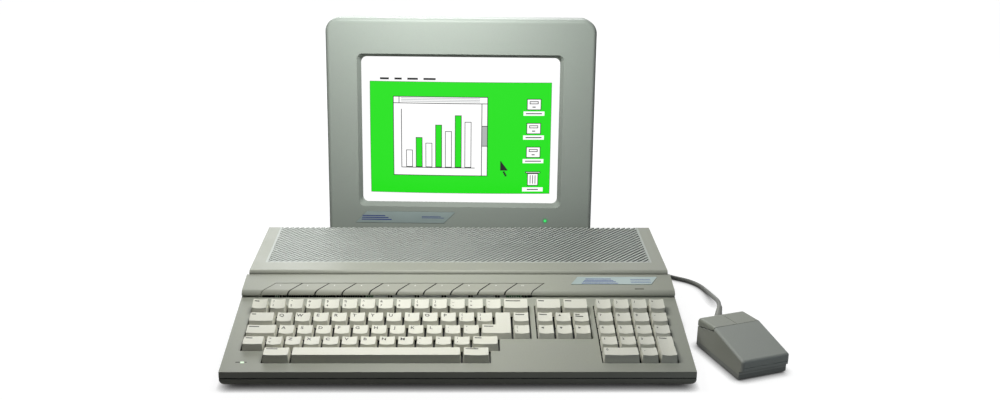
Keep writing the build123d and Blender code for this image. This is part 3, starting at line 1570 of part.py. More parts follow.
with BuildPart() as monitor_board:
    with BuildSketch(monitor.offset(monitor_board_height)):
        with Locations((0, monitor_board_setback + monitor_board_depth / 2)):
            Rectangle(monitor_board_width, monitor_board_depth)
    extrude(amount=board_thickness)
    with BuildSketch(monitor.offset(monitor_board_height + board_thickness)):
        with Locations((-transformer_size, monitor_board_setback + monitor_board_depth - transformer_size)):
            Rectangle(transformer_size, transformer_size)
        with Locations((transformer_size, monitor_board_setback + monitor_board_depth - transformer_size)):
            Circle(transformer_size / 3)
    extrude(amount=transformer_size)
    # Speaker on the left side wall
    with BuildSketch(control_plane.offset(-speaker_place)):
        with Locations((0, knob_height)):
            Circle(speaker_radius)
    extrude(amount=speaker_depth)

monitor_board.part.label = "monitor_board"
export_step(monitor_board.part, "parts/monitor_board.step")

# Where the tapering right side wall stands at the knobs
taper_start = bezel_depth / cos(lean) + (knob_height + knob_pitch) * tan(lean)
taper_length = bezel_depth + cabinet_depth - taper_start
taper = (cabinet_width - cabinet_rear_width) / 2 / taper_length
control_wall = cabinet_width / 2 - (control_setback - taper_start) * taper

for knob_name, height in (("brightness_knob", knob_height), ("volume_knob", knob_height + knob_pitch)):
    with BuildPart() as knob:
        with BuildSketch(control_plane.offset(control_wall + knob_gap)):
            with Locations((0, height)):
                Circle(knob_radius)
        extrude(amount=knob_length)
        knob_face = control_wall + knob_length
        rim = [edge for edge in knob.edges() if control_plane.to_local_coords(edge @ 0.5).Z > knob_face]
        chamfer(rim, knob_gap / 2)
        with BuildSketch(control_plane.offset(control_wall + knob_gap + knob_length)):
            with Locations((0, height + knob_radius / 2)):
                Rectangle(knob_gap / 2, knob_radius)
        extrude(amount=-knob_gap / 2, mode=Mode.SUBTRACT)
        with BuildSketch(control_plane.offset(control_wall + knob_gap)):
            with Locations((0, height)):
                Circle(knob_shaft_radius)
        extrude(amount=-knob_length)
    knob.part.label = knob_name
    export_step(knob.part, "parts/" + knob_name + ".step")

with BuildPart() as monitor_power_button:
    with BuildSketch(control_plane.offset(control_wall + power_button_travel + knob_gap)):
        with Locations((0, knob_height - power_button_drop)):
            Rectangle(power_button_width, power_button_height)
    extrude(amount=-power_button_length)

monitor_power_button.part.label = "monitor_power_button"
export_step(monitor_power_button.part, "parts/monitor_power_button.step")
# ---------------------------------------------------------------------------------
# Mouse
# ---------------------------------------------------------------------------------

mouse = Plane(
    origin=(unit_x + mouse_from_unit_x, unit_y + mouse_from_unit_y, 0),
    x_dir=(cos(radians(mouse_turn)), sin(radians(mouse_turn)), 0),
    z_dir=(0, 0, 1),
)
mouse_side = Plane(origin=mouse.origin, x_dir=mouse.y_dir, z_dir=mouse.x_dir)
mouse_front = Plane(
    origin=mouse.from_local_coords((0, mouse_length, 0)), x_dir=mouse.x_dir, z_dir=-mouse.y_dir
)
mouse_middle = mouse_width / 2
button_front_bottom = mouse_front_height - button_front_skirt
button_crease_bottom = mouse_crease_height - button_crease_skirt
button_back = mouse_crease_from_heel + button_gap / 2


def mouse_form(shrink):
    """The mouse's whole body, drawn in by a wall, with rounded edges if it isn't."""
    front = mouse_length - shrink
    heel = mouse_heel_overhang + shrink
    bottom = mouse_skid_height + shrink
    with BuildPart() as form:
        with BuildSketch(mouse_side.offset(shrink)) as side_view:
            with BuildLine():
                Polyline(
                    (heel, bottom),
                    (heel, mouse_heel_lip - mouse_wall),
                    (shrink, mouse_heel_lip),
                    (shrink, mouse_heel_height - shrink),
                    (mouse_crease_from_heel, mouse_crease_height - shrink),
                    (front, mouse_front_height - shrink),
                    (front, bottom),
                    close=True,
                )
            make_face()
            if not shrink:
                heel_corner = side_view.vertices().sort_by_distance((0, mouse_heel_height))[0]
                fillet(heel_corner, mouse_edge_radius)
                nose_corner = side_view.vertices().sort_by_distance((front, mouse_front_height))[0]
                fillet(nose_corner, mouse_nose_radius)
        extrude(amount=mouse_width - 2 * shrink)
        if not shrink:
            rims = []
            for edge in form.edges():
                place = mouse.to_local_coords(edge @ 0.5)
                on_side = min(abs(place.X), abs(place.X - mouse_width)) < 0.01
                if on_side and place.Z > mouse_heel_height - mouse_edge_radius:
                    rims.append(edge)
            fillet(rims, mouse_edge_radius)
            chamfer(form.edges().group_by(Axis.Z)[0], mouse_base_chamfer)
    return form.part


def mouse_slab(bottom, top, back, front, left, right):
    """A plain block in the mouse's own directions, used to cut its body into pieces."""
    with BuildPart() as slab:
        with BuildSketch(mouse.offset(bottom)):
            with Locations(((left + right) / 2, (back + front) / 2)):
                Rectangle(right - left, front - back)
        extrude(amount=top - bottom)
    return slab.part


def button_block(drop, back, left, right):
    """The block over the buttons' sloping lower line, lowered by a gap."""
    front = mouse_length + 1
    slope = (button_front_bottom - button_crease_bottom) / (mouse_length - mouse_crease_from_heel)
    front_line = button_front_bottom + slope - drop
    back_line = button_crease_bottom + slope * (back - mouse_crease_from_heel) - drop
    with BuildPart() as block:
        with BuildSketch(mouse_side.offset(left)):
            top = mouse_crease_height + 1
            Polygon((back, back_line), (front, front_line), (front, top), (back, top), align=None)
        extrude(amount=right - left)
    return block.part


ball_place = (mouse_middle, ball_from_heel)
ball_height = ball_lift + ball_radius
roller_distance = ball_radius + roller_gap + roller_radius
ring_seat_top = mouse_skid_height + ring_thickness

with BuildPart() as mouse_shell:
    add(mouse_form(0))
    add(mouse_form(mouse_wall), mode=Mode.SUBTRACT)
    above = mouse_slab(mouse_base_height, mouse_crease_height, -1, mouse_length + 1, -1, mouse_width + 1)
    add(above, mode=Mode.INTERSECT)
    # Groove across the heel
    groove_top = mouse_heel_groove_height + mouse_heel_groove_width
    groove_right = mouse_width - mouse_heel_groove_inset
    groove_depth = mouse_heel_groove_width
    groove = mouse_slab(
        mouse_heel_groove_height, groove_top, -1, groove_depth, mouse_heel_groove_inset, groove_right
    )
    add(groove, mode=Mode.SUBTRACT)
    under_buttons = button_travel + button_gap
    add(button_block(under_buttons, button_back - button_gap, -1, mouse_width + 1), mode=Mode.SUBTRACT)

mouse_shell.part.label = "mouse_shell"
export_step(mouse_shell.part, "parts/mouse_shell.step")

for button_name, left, right in (
    ("left_button", -1, mouse_middle - button_gap / 2),
    ("right_button", mouse_middle + button_gap / 2, mouse_width + 1),
):
    with BuildPart() as button:
        add(mouse_form(0))
        add(mouse_form(mouse_wall), mode=Mode.SUBTRACT)
        add(button_block(0, button_back, left, right), mode=Mode.INTERSECT)
    button.part.label = button_name
    export_step(button.part, "parts/" + button_name + ".step")

with BuildPart() as mouse_base:
    add(mouse_form(0))
    add(mouse_form(mouse_wall), mode=Mode.SUBTRACT)
    below = mouse_slab(0, mouse_base_height, -1, mouse_length + 1, -1, mouse_width + 1)
    add(below, mode=Mode.INTERSECT)
    # Four moulded skids
    with BuildSketch(mouse):
        with Locations((mouse_middle, (mouse_heel_overhang + mouse_length) / 2)):
            skid_depth = mouse_length - mouse_heel_overhang - 2 * mouse_skid_inset
            with GridLocations(mouse_width - 2 * mouse_skid_inset, skid_depth, 2, 2):
                Circle(mouse_skid_radius)
    extrude(amount=mouse_skid_height)
    # Lip over the ball's ring, and the hole that the ring turns in
    with BuildSketch(mouse.offset(ring_seat_top)):
        with Locations(ball_place):
            Circle(ring_radius + mouse_wall)
    extrude(amount=mouse_wall / 2)
    with BuildSketch(mouse):
        with Locations(ball_place):
            Circle(ring_radius + ring_clearance)
    extrude(amount=ring_seat_top, mode=Mode.SUBTRACT)
    with BuildSketch(mouse):
        with Locations(ball_place):
            Circle(ball_radius + mouse_wall / 2)
    extrude(amount=mouse_base_height, mode=Mode.SUBTRACT)
    # Bearing posts of the two rollers
    with BuildSketch(mouse.offset(ring_seat_top)):
        for across in (-post_reach, post_reach):
            with Locations((mouse_middle + across, ball_from_heel - roller_distance)):
                Rectangle(mouse_wall, 3 * roller_radius)
            with Locations((mouse_middle - roller_distance, ball_from_heel + across)):
                Rectangle(3 * roller_radius, mouse_wall)
    extrude(amount=ball_height + 2 * roller_shaft_radius - ring_seat_top)
    with BuildSketch(mouse_side):
        with Locations((ball_from_heel - roller_distance, ball_height)):
            Circle(roller_shaft_radius + shaft_clearance)
    extrude(amount=mouse_width - 2 * mouse_wall, mode=Mode.SUBTRACT)
    with BuildSketch(mouse_front):
        with Locations((mouse_middle - roller_distance, ball_height)):
            Circle(roller_shaft_radius + shaft_clearance)
    extrude(amount=mouse_length - mouse_base_height, mode=Mode.SUBTRACT)

mouse_base.part.label = "mouse_base"
export_step(mouse_base.part, "parts/mouse_base.step")

ball_centre = mouse.from_local_coords((*ball_place, ball_height))

with BuildPart() as mouse_ball:
    with BuildSketch(Plane(origin=ball_centre, x_dir=mouse.x_dir, z_dir=mouse.y_dir)):
        Circle(ball_radius)
        with Locations((-ball_radius, 0)):
            Rectangle(2 * ball_radius, 2 * ball_radius, mode=Mode.SUBTRACT)
    revolve(axis=Axis(ball_centre, (0, 0, 1)))

mouse_ball.part.label = "mouse_ball"
export_step(mouse_ball.part, "parts/mouse_ball.step")

with BuildPart() as ball_ring:
    with BuildSketch(mouse.offset(mouse_skid_height)):
        with Locations(ball_place):
            Circle(ring_radius)
            Circle(ball_hole_radius, mode=Mode.SUBTRACT)
    extrude(amount=ring_thickness - ring_clearance)
    with BuildSketch(mouse.offset(mouse_skid_height)):
        with Locations(ball_place):
            with PolarLocations((ring_radius + ball_hole_radius) / 2, 3):
                Circle(roller_shaft_radius)
    extrude(amount=ring_clearance * 5, mode=Mode.SUBTRACT)

ball_ring.part.label = "ball_ring"
export_step(ball_ring.part, "parts/ball_ring.step")

roller_planes = {
    "ball_roller": Plane(
        origin=mouse.from_local_coords((mouse_middle, ball_from_heel - roller_distance, ball_height)),
        z_dir=mouse.x_dir,
    ),
    "side_roller": Plane(
        origin=mouse.from_local_coords((mouse_middle - roller_distance, ball_from_heel, ball_height)),
        z_dir=mouse.y_dir,
    ),
}

for roller_name, roller_plane in roller_planes.items():
    with BuildPart() as roller:
        with BuildSketch(roller_plane.offset(-roller_length / 2)):
            Circle(roller_radius)
        extrude(amount=roller_length)
        with BuildSketch(roller_plane.offset(-post_reach - mouse_wall)):
            Circle(roller_shaft_radius)
        extrude(amount=2 * post_reach + 3 * mouse_wall)
        with BuildSketch(roller_plane.offset(post_reach + mouse_wall)):
            Circle(wheel_radius)
            with PolarLocations(wheel_radius * 0.75, wheel_slots):
                Rectangle(wheel_radius / 4, wheel_thickness / 2, mode=Mode.SUBTRACT)
        extrude(amount=wheel_thickness)
    roller.part.label = roller_name
    export_step(roller.part, "parts/" + roller_name + ".step")

with BuildPart() as mouse_board:
    with BuildSketch(mouse.offset(mouse_board_height)):
        with Locations((mouse_middle, (mouse_board_back + mouse_length - 2 * mouse_wall) / 2)):
            Rectangle(mouse_width - 3 * mouse_wall, mouse_length - 2 * mouse_wall - mouse_board_back)
    extrude(amount=board_thickness)
    with BuildSketch(mouse.offset(mouse_board_height + board_thickness)):
        with Locations((mouse_middle, (mouse_board_back + mouse_length - 2 * mouse_wall) / 2)):
            with GridLocations(mouse_middle, 0, 2, 1):
                Rectangle(3 * roller_radius, 2 * roller_radius)
    extrude(amount=button_front_bottom - 2 * button_travel - mouse_board_height - board_thickness)

mouse_board.part.label = "mouse_board"
export_step(mouse_board.part, "parts/mouse_board.step")

# The boot leaves the front face square, then bends towards the keyboard unit's rear
relief_start = mouse_front.from_local_coords((mouse_middle + relief_shift, relief_exit_height))
relief_bend = relief_start + mouse.y_dir * relief_straight
relief_tip = Vector(unit_x, unit_y, 0) + Vector(*mouse_cord_route[0])

with BuildPart() as cord_relief:
    with BuildLine() as boot:
        FilletPolyline(relief_start, relief_bend, relief_tip, radius=relief_bend_radius)
    boot_line = boot.line
    for share in relief_shares:
        radius = relief_base_radius + (relief_tip_radius - relief_base_radius) * share
        with BuildSketch(Plane(origin=boot_line @ share, z_dir=boot_line % share)):
            Circle(radius)
    loft()

cord_relief.part.label = "cord_relief"
export_step(cord_relief.part, "parts/cord_relief.step")
# ---------------------------------------------------------------------------------
# Mouse cord, its coil and its plug
# ---------------------------------------------------------------------------------


def bend_radii(points):
    """The arc at each inner point: a share of the shorter run over the half turn's tangent."""
    places = [Vector(*point) for point in points]
    radii = []
    for before, corner, after in zip(places[:-2], places[1:-1], places[2:]):
        turn = (corner - before).get_angle(after - corner)
        shorter = min((corner - before).length, (after - corner).length)
        radii.append(0.45 * shorter / tan(radians(turn) / 2))
    return radii


for cord_name, route in (("mouse_cord", mouse_cord_route), ("cord_lead", cord_lead_route)):
    radii = bend_radii(route)
    with BuildPart() as cord:
        with BuildLine() as path:
            FilletPolyline(*[(unit_x + x, unit_y + y, z) for x, y, z in route], radius=radii)
        with BuildSketch(Plane(origin=path.line @ 0, z_dir=path.line % 0)):
            Circle(cord_diameter / 2)
        sweep(path=path.line)
    cord.part.label = cord_name
    export_step(cord.part, "parts/" + cord_name + ".step")
    length = sum(edge.length for edge in path.edges())
    section_volume = pi * cord_diameter**2 / 4 * length
    print(cord_name, "length", round(length, 1), "smallest radius", round(min(radii), 1))
    print("  radii", [round(radius, 1) for radius in radii])
    print("  volume", round(cord.part.volume, 1), "section times length", round(section_volume, 1))

coil_build = cord_diameter * coil_turns_in_layer
coil_outer = coil_turn_radius + coil_build / 2
coil_inner = coil_turn_radius - coil_build / 2

with BuildPart() as cord_coil:
    with BuildSketch(unit.offset(cord_floor_gap)):
        with Locations(coil_centre):
            Circle(coil_outer)
            Circle(coil_inner, mode=Mode.SUBTRACT)
    extrude(amount=cord_diameter * coil_layers)
    fillet(cord_coil.edges().filter_by(GeomType.CIRCLE), cord_diameter / 2 - cord_floor_gap)

cord_coil.part.label = "cord_coil"
export_step(cord_coil.part, "parts/cord_coil.step")

plug_plane = port_face.offset(port_flange + port_shell_depth + socket_clearance)
plug_place = (recess_middle + port_pitch / 2, port_axis_height)
plug_nose = port_shell_depth - 2 * socket_clearance

with BuildPart() as mouse_plug:
    with BuildSketch(plug_plane):
        with Locations(plug_place):
            Rectangle(port_width, port_height)
    extrude(amount=plug_length)
    hood_edges = mouse_plug.edges().filter_by(Axis.X)
    fillet(hood_edges, plug_edge_radius)
    with BuildSketch(plug_plane):
        with Locations(plug_place):
            inset = 2 * (port_shell_wall + socket_clearance)
            Rectangle(port_shell_width - inset, port_shell_height - inset)
    extrude(amount=-plug_nose)
    # Tapered boot at the back of the hood
    with BuildSketch(plug_plane.offset(plug_length)):
        with Locations(plug_place):
            Circle(relief_base_radius)
    with BuildSketch(unit_side.offset(cord_lead_route[-1][0])):
        with Locations(plug_place):
            Circle(relief_tip_radius)
    loft()

mouse_plug.part.label = "mouse_plug"
export_step(mouse_plug.part, "parts/mouse_plug.step")
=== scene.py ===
import math

import bmesh
import bpy
from mathutils import Matrix, Vector
from mathutils.bvhtree import BVHTree


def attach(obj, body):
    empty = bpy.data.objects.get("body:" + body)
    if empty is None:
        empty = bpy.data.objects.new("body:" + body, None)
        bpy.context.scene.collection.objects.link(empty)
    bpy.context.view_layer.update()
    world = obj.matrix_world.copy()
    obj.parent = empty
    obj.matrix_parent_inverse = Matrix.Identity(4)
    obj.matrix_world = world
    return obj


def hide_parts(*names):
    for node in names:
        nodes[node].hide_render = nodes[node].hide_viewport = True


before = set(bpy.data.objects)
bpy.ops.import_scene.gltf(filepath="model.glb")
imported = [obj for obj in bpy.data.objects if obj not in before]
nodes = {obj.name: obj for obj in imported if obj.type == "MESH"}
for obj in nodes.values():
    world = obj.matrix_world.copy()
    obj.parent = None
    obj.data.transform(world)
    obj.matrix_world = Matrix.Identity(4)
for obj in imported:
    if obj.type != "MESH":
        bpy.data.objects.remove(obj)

scene = bpy.context.scene
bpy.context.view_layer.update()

# ------------------------
# Desk, lamps and camera
# The set stands on a plain white table top under a soft box that hangs low before the
# keyboard, a box over the monitor's foot, two fills and a weak white surround.
# ------------------------


def new_material(name):
    """An empty node material, its tree and the socket that its shader goes to."""
    material = bpy.data.materials.new(name)
    material.use_nodes = True
    tree = material.node_tree
    tree.nodes.clear()
    return material, tree, tree.nodes.new("ShaderNodeOutputMaterial").inputs["Surface"]


def add_node(tree, kind, inputs=(), **settings):
    """One shader node; each input is a value, or an output that is linked to it."""
    node = tree.nodes.new(kind)
    for key, value in settings.items():
        setattr(node, key, value)
    for key, value in dict(inputs).items():
        if isinstance(value, bpy.types.NodeSocket):
            tree.links.new(value, node.inputs[key])
        else:
            node.inputs[key].default_value = value
    return node


def math_node(tree, operation, *operands, clamp=False):
    """The output of one maths node over numbers and outputs."""
    inputs = dict(enumerate(operands))
    return add_node(tree, "ShaderNodeMath", inputs, operation=operation, use_clamp=clamp).outputs[0]


def scaled(tree, value, factor, plus, clamp=False):
    """A value times a factor, plus another."""
    return math_node(tree, "MULTIPLY_ADD", value, factor, plus, clamp=clamp)


def own_place(tree):
    """A point's own coordinates."""
    return add_node(tree, "ShaderNodeTexCoord").outputs["Object"]


def noise(tree, place, scale, detail=2.0, roughness=0.5):
    """The output of a noise texture over a place."""
    inputs = {"Vector": place, "Scale": scale, "Detail": detail, "Roughness": roughness}
    return add_node(tree, "ShaderNodeTexNoise", inputs).outputs["Fac"]


def by_ray(tree, unseen, seen):
    """One shader for what the camera, gloss and glass see, and another for other light."""
    path = add_node(tree, "ShaderNodeLightPath").outputs
    ray = math_node(tree, "MAXIMUM", path["Is Camera Ray"], path["Is Glossy Ray"])
    ray = math_node(tree, "MAXIMUM", ray, path["Is Transmission Ray"])
    return add_node(tree, "ShaderNodeMixShader", {0: ray, 1: unseen, 2: seen}).outputs[0]


def mesh_object(name, vertices, faces, material=None):
    """A mesh object at the origin, with its place in its vertices."""
    mesh = bpy.data.meshes.new(name)
    mesh.from_pydata([tuple(v) for v in vertices], [], faces)
    mesh.update()
    thing = bpy.data.objects.new(name, mesh)
    scene.collection.objects.link(thing)
    if material is not None:
        mesh.materials.append(material)
    return thing


floor_reach = 6.0
floor_steps = 24
floor_points = [
    (-floor_reach + 2 * floor_reach * i / floor_steps, -floor_reach + 2 * floor_reach * j / floor_steps, 0.0)
    for j in range(floor_steps + 1)
    for i in range(floor_steps + 1)
]
floor_faces = []
for j in range(floor_steps):
    for i in range(floor_steps):
        first = j * (floor_steps + 1) + i
        floor_faces.append((first, first + 1, first + floor_steps + 2, first + floor_steps + 1))

# The table top glows by as much as the lamps leave out, so that it is plain white, and
# it keeps the soft shadows of the lamps; the dark line where something stands on it is
# partly lamp shadow and partly painted contact shade from ambient occlusion
lamp_foot = (-0.085, -0.275, 0.0)
lamp_height = 0.37
table_white, table_bounce = 0.13, 0.06
lamp_share = 0.134
contact_reach, contact_power = 0.010, 1.7

floor_material, tree, surface = new_material("table top")
place = own_place(tree)
tone = add_node(tree, "ShaderNodeValToRGB", {"Fac": noise(tree, place, 9.0, 3.0)})
for element, share in zip(tone.color_ramp.elements, (0.98, 1.02)):
    element.color = (share * table_white, share * table_white, share * table_white, 1)
away = add_node(tree, "ShaderNodeVectorMath", {0: place, 1: lamp_foot}, operation="DISTANCE")
spread = math_node(tree, "DIVIDE", away.outputs["Value"], lamp_height)
fall = math_node(tree, "POWER", scaled(tree, spread, spread, 1.0), -2.0)
# Ambient occlusion dims the glow close to things on the table: painted contact shade
near = add_node(tree, "ShaderNodeAmbientOcclusion", {"Distance": contact_reach}, samples=12)
painted_contact_shade = math_node(tree, "POWER", near.outputs["AO"], contact_power)
level = math_node(tree, "MULTIPLY", scaled(tree, fall, -lamp_share, 1.0), painted_contact_shade)
matte = add_node(tree, "ShaderNodeBsdfDiffuse", {"Color": tone.outputs["Color"]})
glow = add_node(tree, "ShaderNodeEmission", {"Color": (1, 1, 1, 1), "Strength": level})
both = add_node(tree, "ShaderNodeAddShader", {0: matte.outputs[0], 1: glow.outputs[0]})
bounce = add_node(tree, "ShaderNodeBsdfDiffuse", {"Color": (table_bounce, table_bounce, table_bounce, 1)})
tree.links.new(by_ray(tree, bounce.outputs[0], both.outputs[0]), surface)
mesh_object("table_top", floor_points, floor_faces, floor_material)

# White surround: seen as plain white, but it lights the set only weakly
world = bpy.data.worlds.new("surround")
world.use_nodes = True
scene.world = world
tree = world.node_tree
tree.nodes.clear()
weak = add_node(tree, "ShaderNodeBackground", {"Color": (0.93, 0.97, 1.0, 1), "Strength": 0.035})
white = add_node(tree, "ShaderNodeBackground", {"Color": (1, 1, 1, 1), "Strength": 1.0})
add_node(tree, "ShaderNodeOutputWorld", {"Surface": by_ray(tree, weak.outputs[0], white.outputs[0])})


def area_lamp(name, place, target, width, height, power, colour=(1, 1, 1)):
    """A soft rectangular lamp that faces its target, and isn't seen itself."""
    data = bpy.data.lights.new(name, "AREA")
    data.shape = "RECTANGLE"
    data.size, data.size_y = width, height
    data.energy = power
    data.color = colour
    lamp = bpy.data.objects.new(name, data)
    scene.collection.objects.link(lamp)
    lamp.location = place
    aim = Vector(target) - Vector(place)
    lamp.rotation_euler = aim.to_track_quat("-Z", "Y").to_euler()
    lamp.visible_camera = False


lamp_place = (lamp_foot[0], lamp_foot[1], lamp_height)
area_lamp("soft_box", lamp_place, lamp_foot, 0.20, 0.09, 1.08, (1.0, 1.0, 0.97))
area_lamp("top_box", (-0.10, -0.16, 0.50), (-0.08, 0.02, 0.40), 0.24, 0.07, 1.7, (0.98, 1.0, 0.98))
area_lamp("front_fill", (0.38, -0.56, 0.22), (0.26, -0.33, 0.02), 0.12, 0.10, 0.19, (0.80, 0.90, 1.0))
area_lamp("back_fill", (-0.35, 1.3, 1.0), (-0.05, 0.2, 0.15), 1.2, 0.8, 20.0, (0.97, 0.99, 1.0))

# Camera: a long way back and a little above the set, aimed down at the keyboard
camera_place = Vector((-0.04609, -1.251446, 0.527828))
pitch, yaw, roll = math.radians(19.639), math.radians(0.881), math.radians(0.402)
ahead = Vector((math.sin(yaw) * math.cos(pitch), math.cos(yaw) * math.cos(pitch), -math.sin(pitch)))
level = Vector((math.cos(yaw), -math.sin(yaw), 0.0))
above = level.cross(ahead)
right = level * math.cos(roll) + above * math.sin(roll)
upward = above * math.cos(roll) - level * math.sin(roll)
camera_data = bpy.data.cameras.new("camera")
camera_data.sensor_width = 36.0
camera_data.lens = 37.99
camera_data.shift_x = 0.0218
camera = bpy.data.objects.new("camera", camera_data)
camera.matrix_world = Matrix((
    (right.x, upward.x, -ahead.x, camera_place.x),
    (right.y, upward.y, -ahead.y, camera_place.y),
    (right.z, upward.z, -ahead.z, camera_place.z),
    (0, 0, 0, 1),
))
scene.collection.objects.link(camera)
scene.camera = camera
scene.view_settings.view_transform = "Standard"

# ------------------------
# Keyboard unit: lower case
# A tray moulded in grey ABS with a fine spark texture. The posts for the case screws,
# the cartridge opening and the recess for the two ports are moulded in one with it.
# ------------------------

unit_origin = Vector((-0.05012, -0.33237, 0.0))


def finish_group(name, numbers):
    """A node group that makes a finish from a shade and named numbers, its entry and its exit."""
    group = bpy.data.node_groups.new(name, "ShaderNodeTree")
    sockets = [("Shade", "INPUT", "Color"), ("Colour", "OUTPUT", "Color")]
    sockets += [(number, "INPUT", "Float") for number in numbers]
    sockets += [(number, "OUTPUT", "Float") for number in ("Roughness", "Height")]
    for socket_name, side, kind in sockets:
        group.interface.new_socket(socket_name, in_out=side, socket_type="NodeSocket" + kind)
    return group, group.nodes.new("NodeGroupInput").outputs, group.nodes.new("NodeGroupOutput").inputs


def step_mask(tree, value, start, end):
    """A smooth ramp from 0 at one value to 1 at another."""
    inputs = {"Value": value, "From Min": start, "From Max": end}
    return add_node(tree, "ShaderNodeMapRange", inputs, interpolation_type="SMOOTHSTEP").outputs["Result"]


def stretched(tree, place, scale, turn=0.0):
    """A place turned about the vertical and stretched along each axis."""
    inputs = {"Vector": place, "Rotation": (0.0, 0.0, turn), "Scale": scale}
    return add_node(tree, "ShaderNodeMapping", inputs).outputs["Vector"]


def tinted(tree, shade, value, saturation=1.0):
    """A shade made lighter or darker, and paler or fuller."""
    inputs = {"Color": shade, "Value": value, "Saturation": saturation}
    return add_node(tree, "ShaderNodeHueSaturation", inputs).outputs["Color"]


def surface_shader(tree, surface, inputs, relief=None, strength=0.0, depth=0.0):
    """The shader of a finish, with a bump where it has a relief."""
    shader = add_node(tree, "ShaderNodeBsdfPrincipled", inputs)
    if relief is not None:
        bump = add_node(tree, "ShaderNodeBump", {"Strength": strength, "Distance": depth, "Height": relief})
        tree.links.new(bump.outputs["Normal"], shader.inputs["Normal"])
    tree.links.new(shader.outputs["BSDF"], surface)
    return shader


# The skin of a moulded part: broad tone, mottling, spark grain, dust and fine scuffs
skin_group, entry, leave = finish_group("moulded skin", ("Mottle", "Gloss Base", "Scuffs"))
tree = skin_group
place = own_place(tree)
broad = noise(tree, place, 5.0)
cloud = noise(tree, place, 42.0, 4.0, 0.55)
grain = noise(tree, place, 1500.0, 1.5, 0.6)
dust = noise(tree, place, 310.0)
streak = noise(tree, stretched(tree, place, (620.0, 26.0, 60.0), 0.55), 1.0, 1.0)
pits = add_node(tree, "ShaderNodeTexVoronoi", {"Vector": place, "Scale": 950.0}).outputs["Distance"]
scuff = math_node(tree, "MULTIPLY", step_mask(tree, streak, 0.69, 0.78), step_mask(tree, broad, 0.5, 0.66))
scuff = math_node(tree, "MULTIPLY", scuff, entry["Scuffs"])
patch = math_node(tree, "SUBTRACT", cloud, 0.5)
tone = scaled(tree, patch, 0.8, math_node(tree, "SUBTRACT", broad, 0.5))
tone = scaled(tree, tone, entry["Mottle"], 1.0)
tone = scaled(tree, step_mask(tree, dust, 0.70, 0.80), -0.05, tone)
tone = scaled(tree, scuff, 0.12, tone)
tone = scaled(tree, pits, -0.05, math_node(tree, "ADD", tone, 0.02))
rough = scaled(tree, scuff, -0.12, scaled(tree, patch, 0.18, entry["Gloss Base"]), clamp=True)
relief = scaled(tree, scuff, -0.6, scaled(tree, pits, 0.6, grain))
tree.links.new(tinted(tree, entry["Shade"], tone, scaled(tree, patch, 0.35, 1.0)), leave["Colour"])
tree.links.new(rough, leave["Roughness"])
tree.links.new(relief, leave["Height"])


def moulded_plastic(
    name, shade, gloss_base=0.5, mottle=0.05, scuffs=0.4, grain_depth=0.00005, specular=0.22
):
    """A moulded plastic finish; returns its material, tree, skin's outputs and shader."""
    material, tree, surface = new_material(name)
    inputs = {"Shade": (*shade, 1), "Mottle": mottle, "Gloss Base": gloss_base, "Scuffs": scuffs}
    skin = add_node(tree, "ShaderNodeGroup", inputs, node_tree=skin_group).outputs
    inputs = {"Base Color": skin["Colour"], "Roughness": skin["Roughness"], "Specular IOR Level": specular}
    return material, tree, skin, surface_shader(tree, surface, inputs, skin["Height"], 0.6, grain_depth)


def dress(node, *finishes, choose=None):
    """Puts one finish on a piece, or one of several by each face's centre and direction."""
    mesh = nodes[node].data
    mesh.materials.clear()
    for finish in finishes:
        mesh.materials.append(finish)
    if choose is not None:
        for face in mesh.polygons:
            face.material_index = choose(face.center - unit_origin, face.normal)


case_shade = (0.335, 0.345, 0.295)
tray_plastic = moulded_plastic("lower case plastic", tuple(0.97 * c for c in case_shade), 0.52, 0.07)[0]
# The faces inside the parting groove are painted near black as shade
groove_painted_shade = moulded_plastic("parting groove painted shade", (0.02, 0.02, 0.018), 0.6, 0.1, 0.2)[0]
groove_bottom, groove_top = 0.0127, 0.01375


def in_groove(centre, normal):
    """The narrow groove under the tray's rim is painted near black as shade."""
    return 1 if groove_bottom < centre.z < groove_top else 0


dress("bottom_case", tray_plastic, groove_painted_shade, choose=in_groove)

# ------------------------
# Keyboard unit: main board and its radio shield
# A dark green glass-fibre board with black chips in sockets, and a tinned steel lid
# with folded edges that stands over the chips.
# ------------------------


def colour_mix(tree, factor, first, second):
    """A mix of two colours, each a value or an output."""
    inputs = {"Factor": factor, "A": first, "B": second}
    return add_node(tree, "ShaderNodeMix", inputs, data_type="RGBA").outputs["Result"]


def round_cells(tree, place, scale, outer, inner):
    """Round spots on an even grid, with a soft rim."""
    inputs = {"Vector": place, "Scale": scale, "Randomness": 0.0}
    cells = add_node(tree, "ShaderNodeTexVoronoi", inputs)
    return step_mask(tree, cells.outputs["Distance"], outer, inner)


board_mask, tree, surface = new_material("board lacquer")
place = own_place(tree)
track_inputs = {
    "Vector": place, "Scale": 90.0, "Mortar Size": 0.06, "Brick Width": 0.9, "Row Height": 0.16,
    "Color1": (0.008, 0.032, 0.013, 1), "Color2": (0.011, 0.042, 0.016, 1),
    "Mortar": (0.022, 0.075, 0.026, 1),
}
tracks = add_node(tree, "ShaderNodeTexBrick", track_inputs).outputs
pads = round_cells(tree, place, 380.0, 0.24, 0.18)
tinned = colour_mix(tree, pads, tracks["Color"], (0.55, 0.54, 0.50, 1))
surface_shader(tree, surface, {"Base Color": tinned, "Roughness": 0.34}, tracks["Fac"], 0.4, 0.0001)
chip_plastic = moulded_plastic("chip epoxy", (0.018, 0.018, 0.019), 0.55, 0.25, 0.2)[0]


def above_board(level):
    """Faces that stand over a board's top are its chips and parts."""
    return lambda centre, normal: 1 if centre.z > level else 0


mainboard_top = 0.0107
dress("mainboard", board_mask, chip_plastic, choose=above_board(mainboard_top))


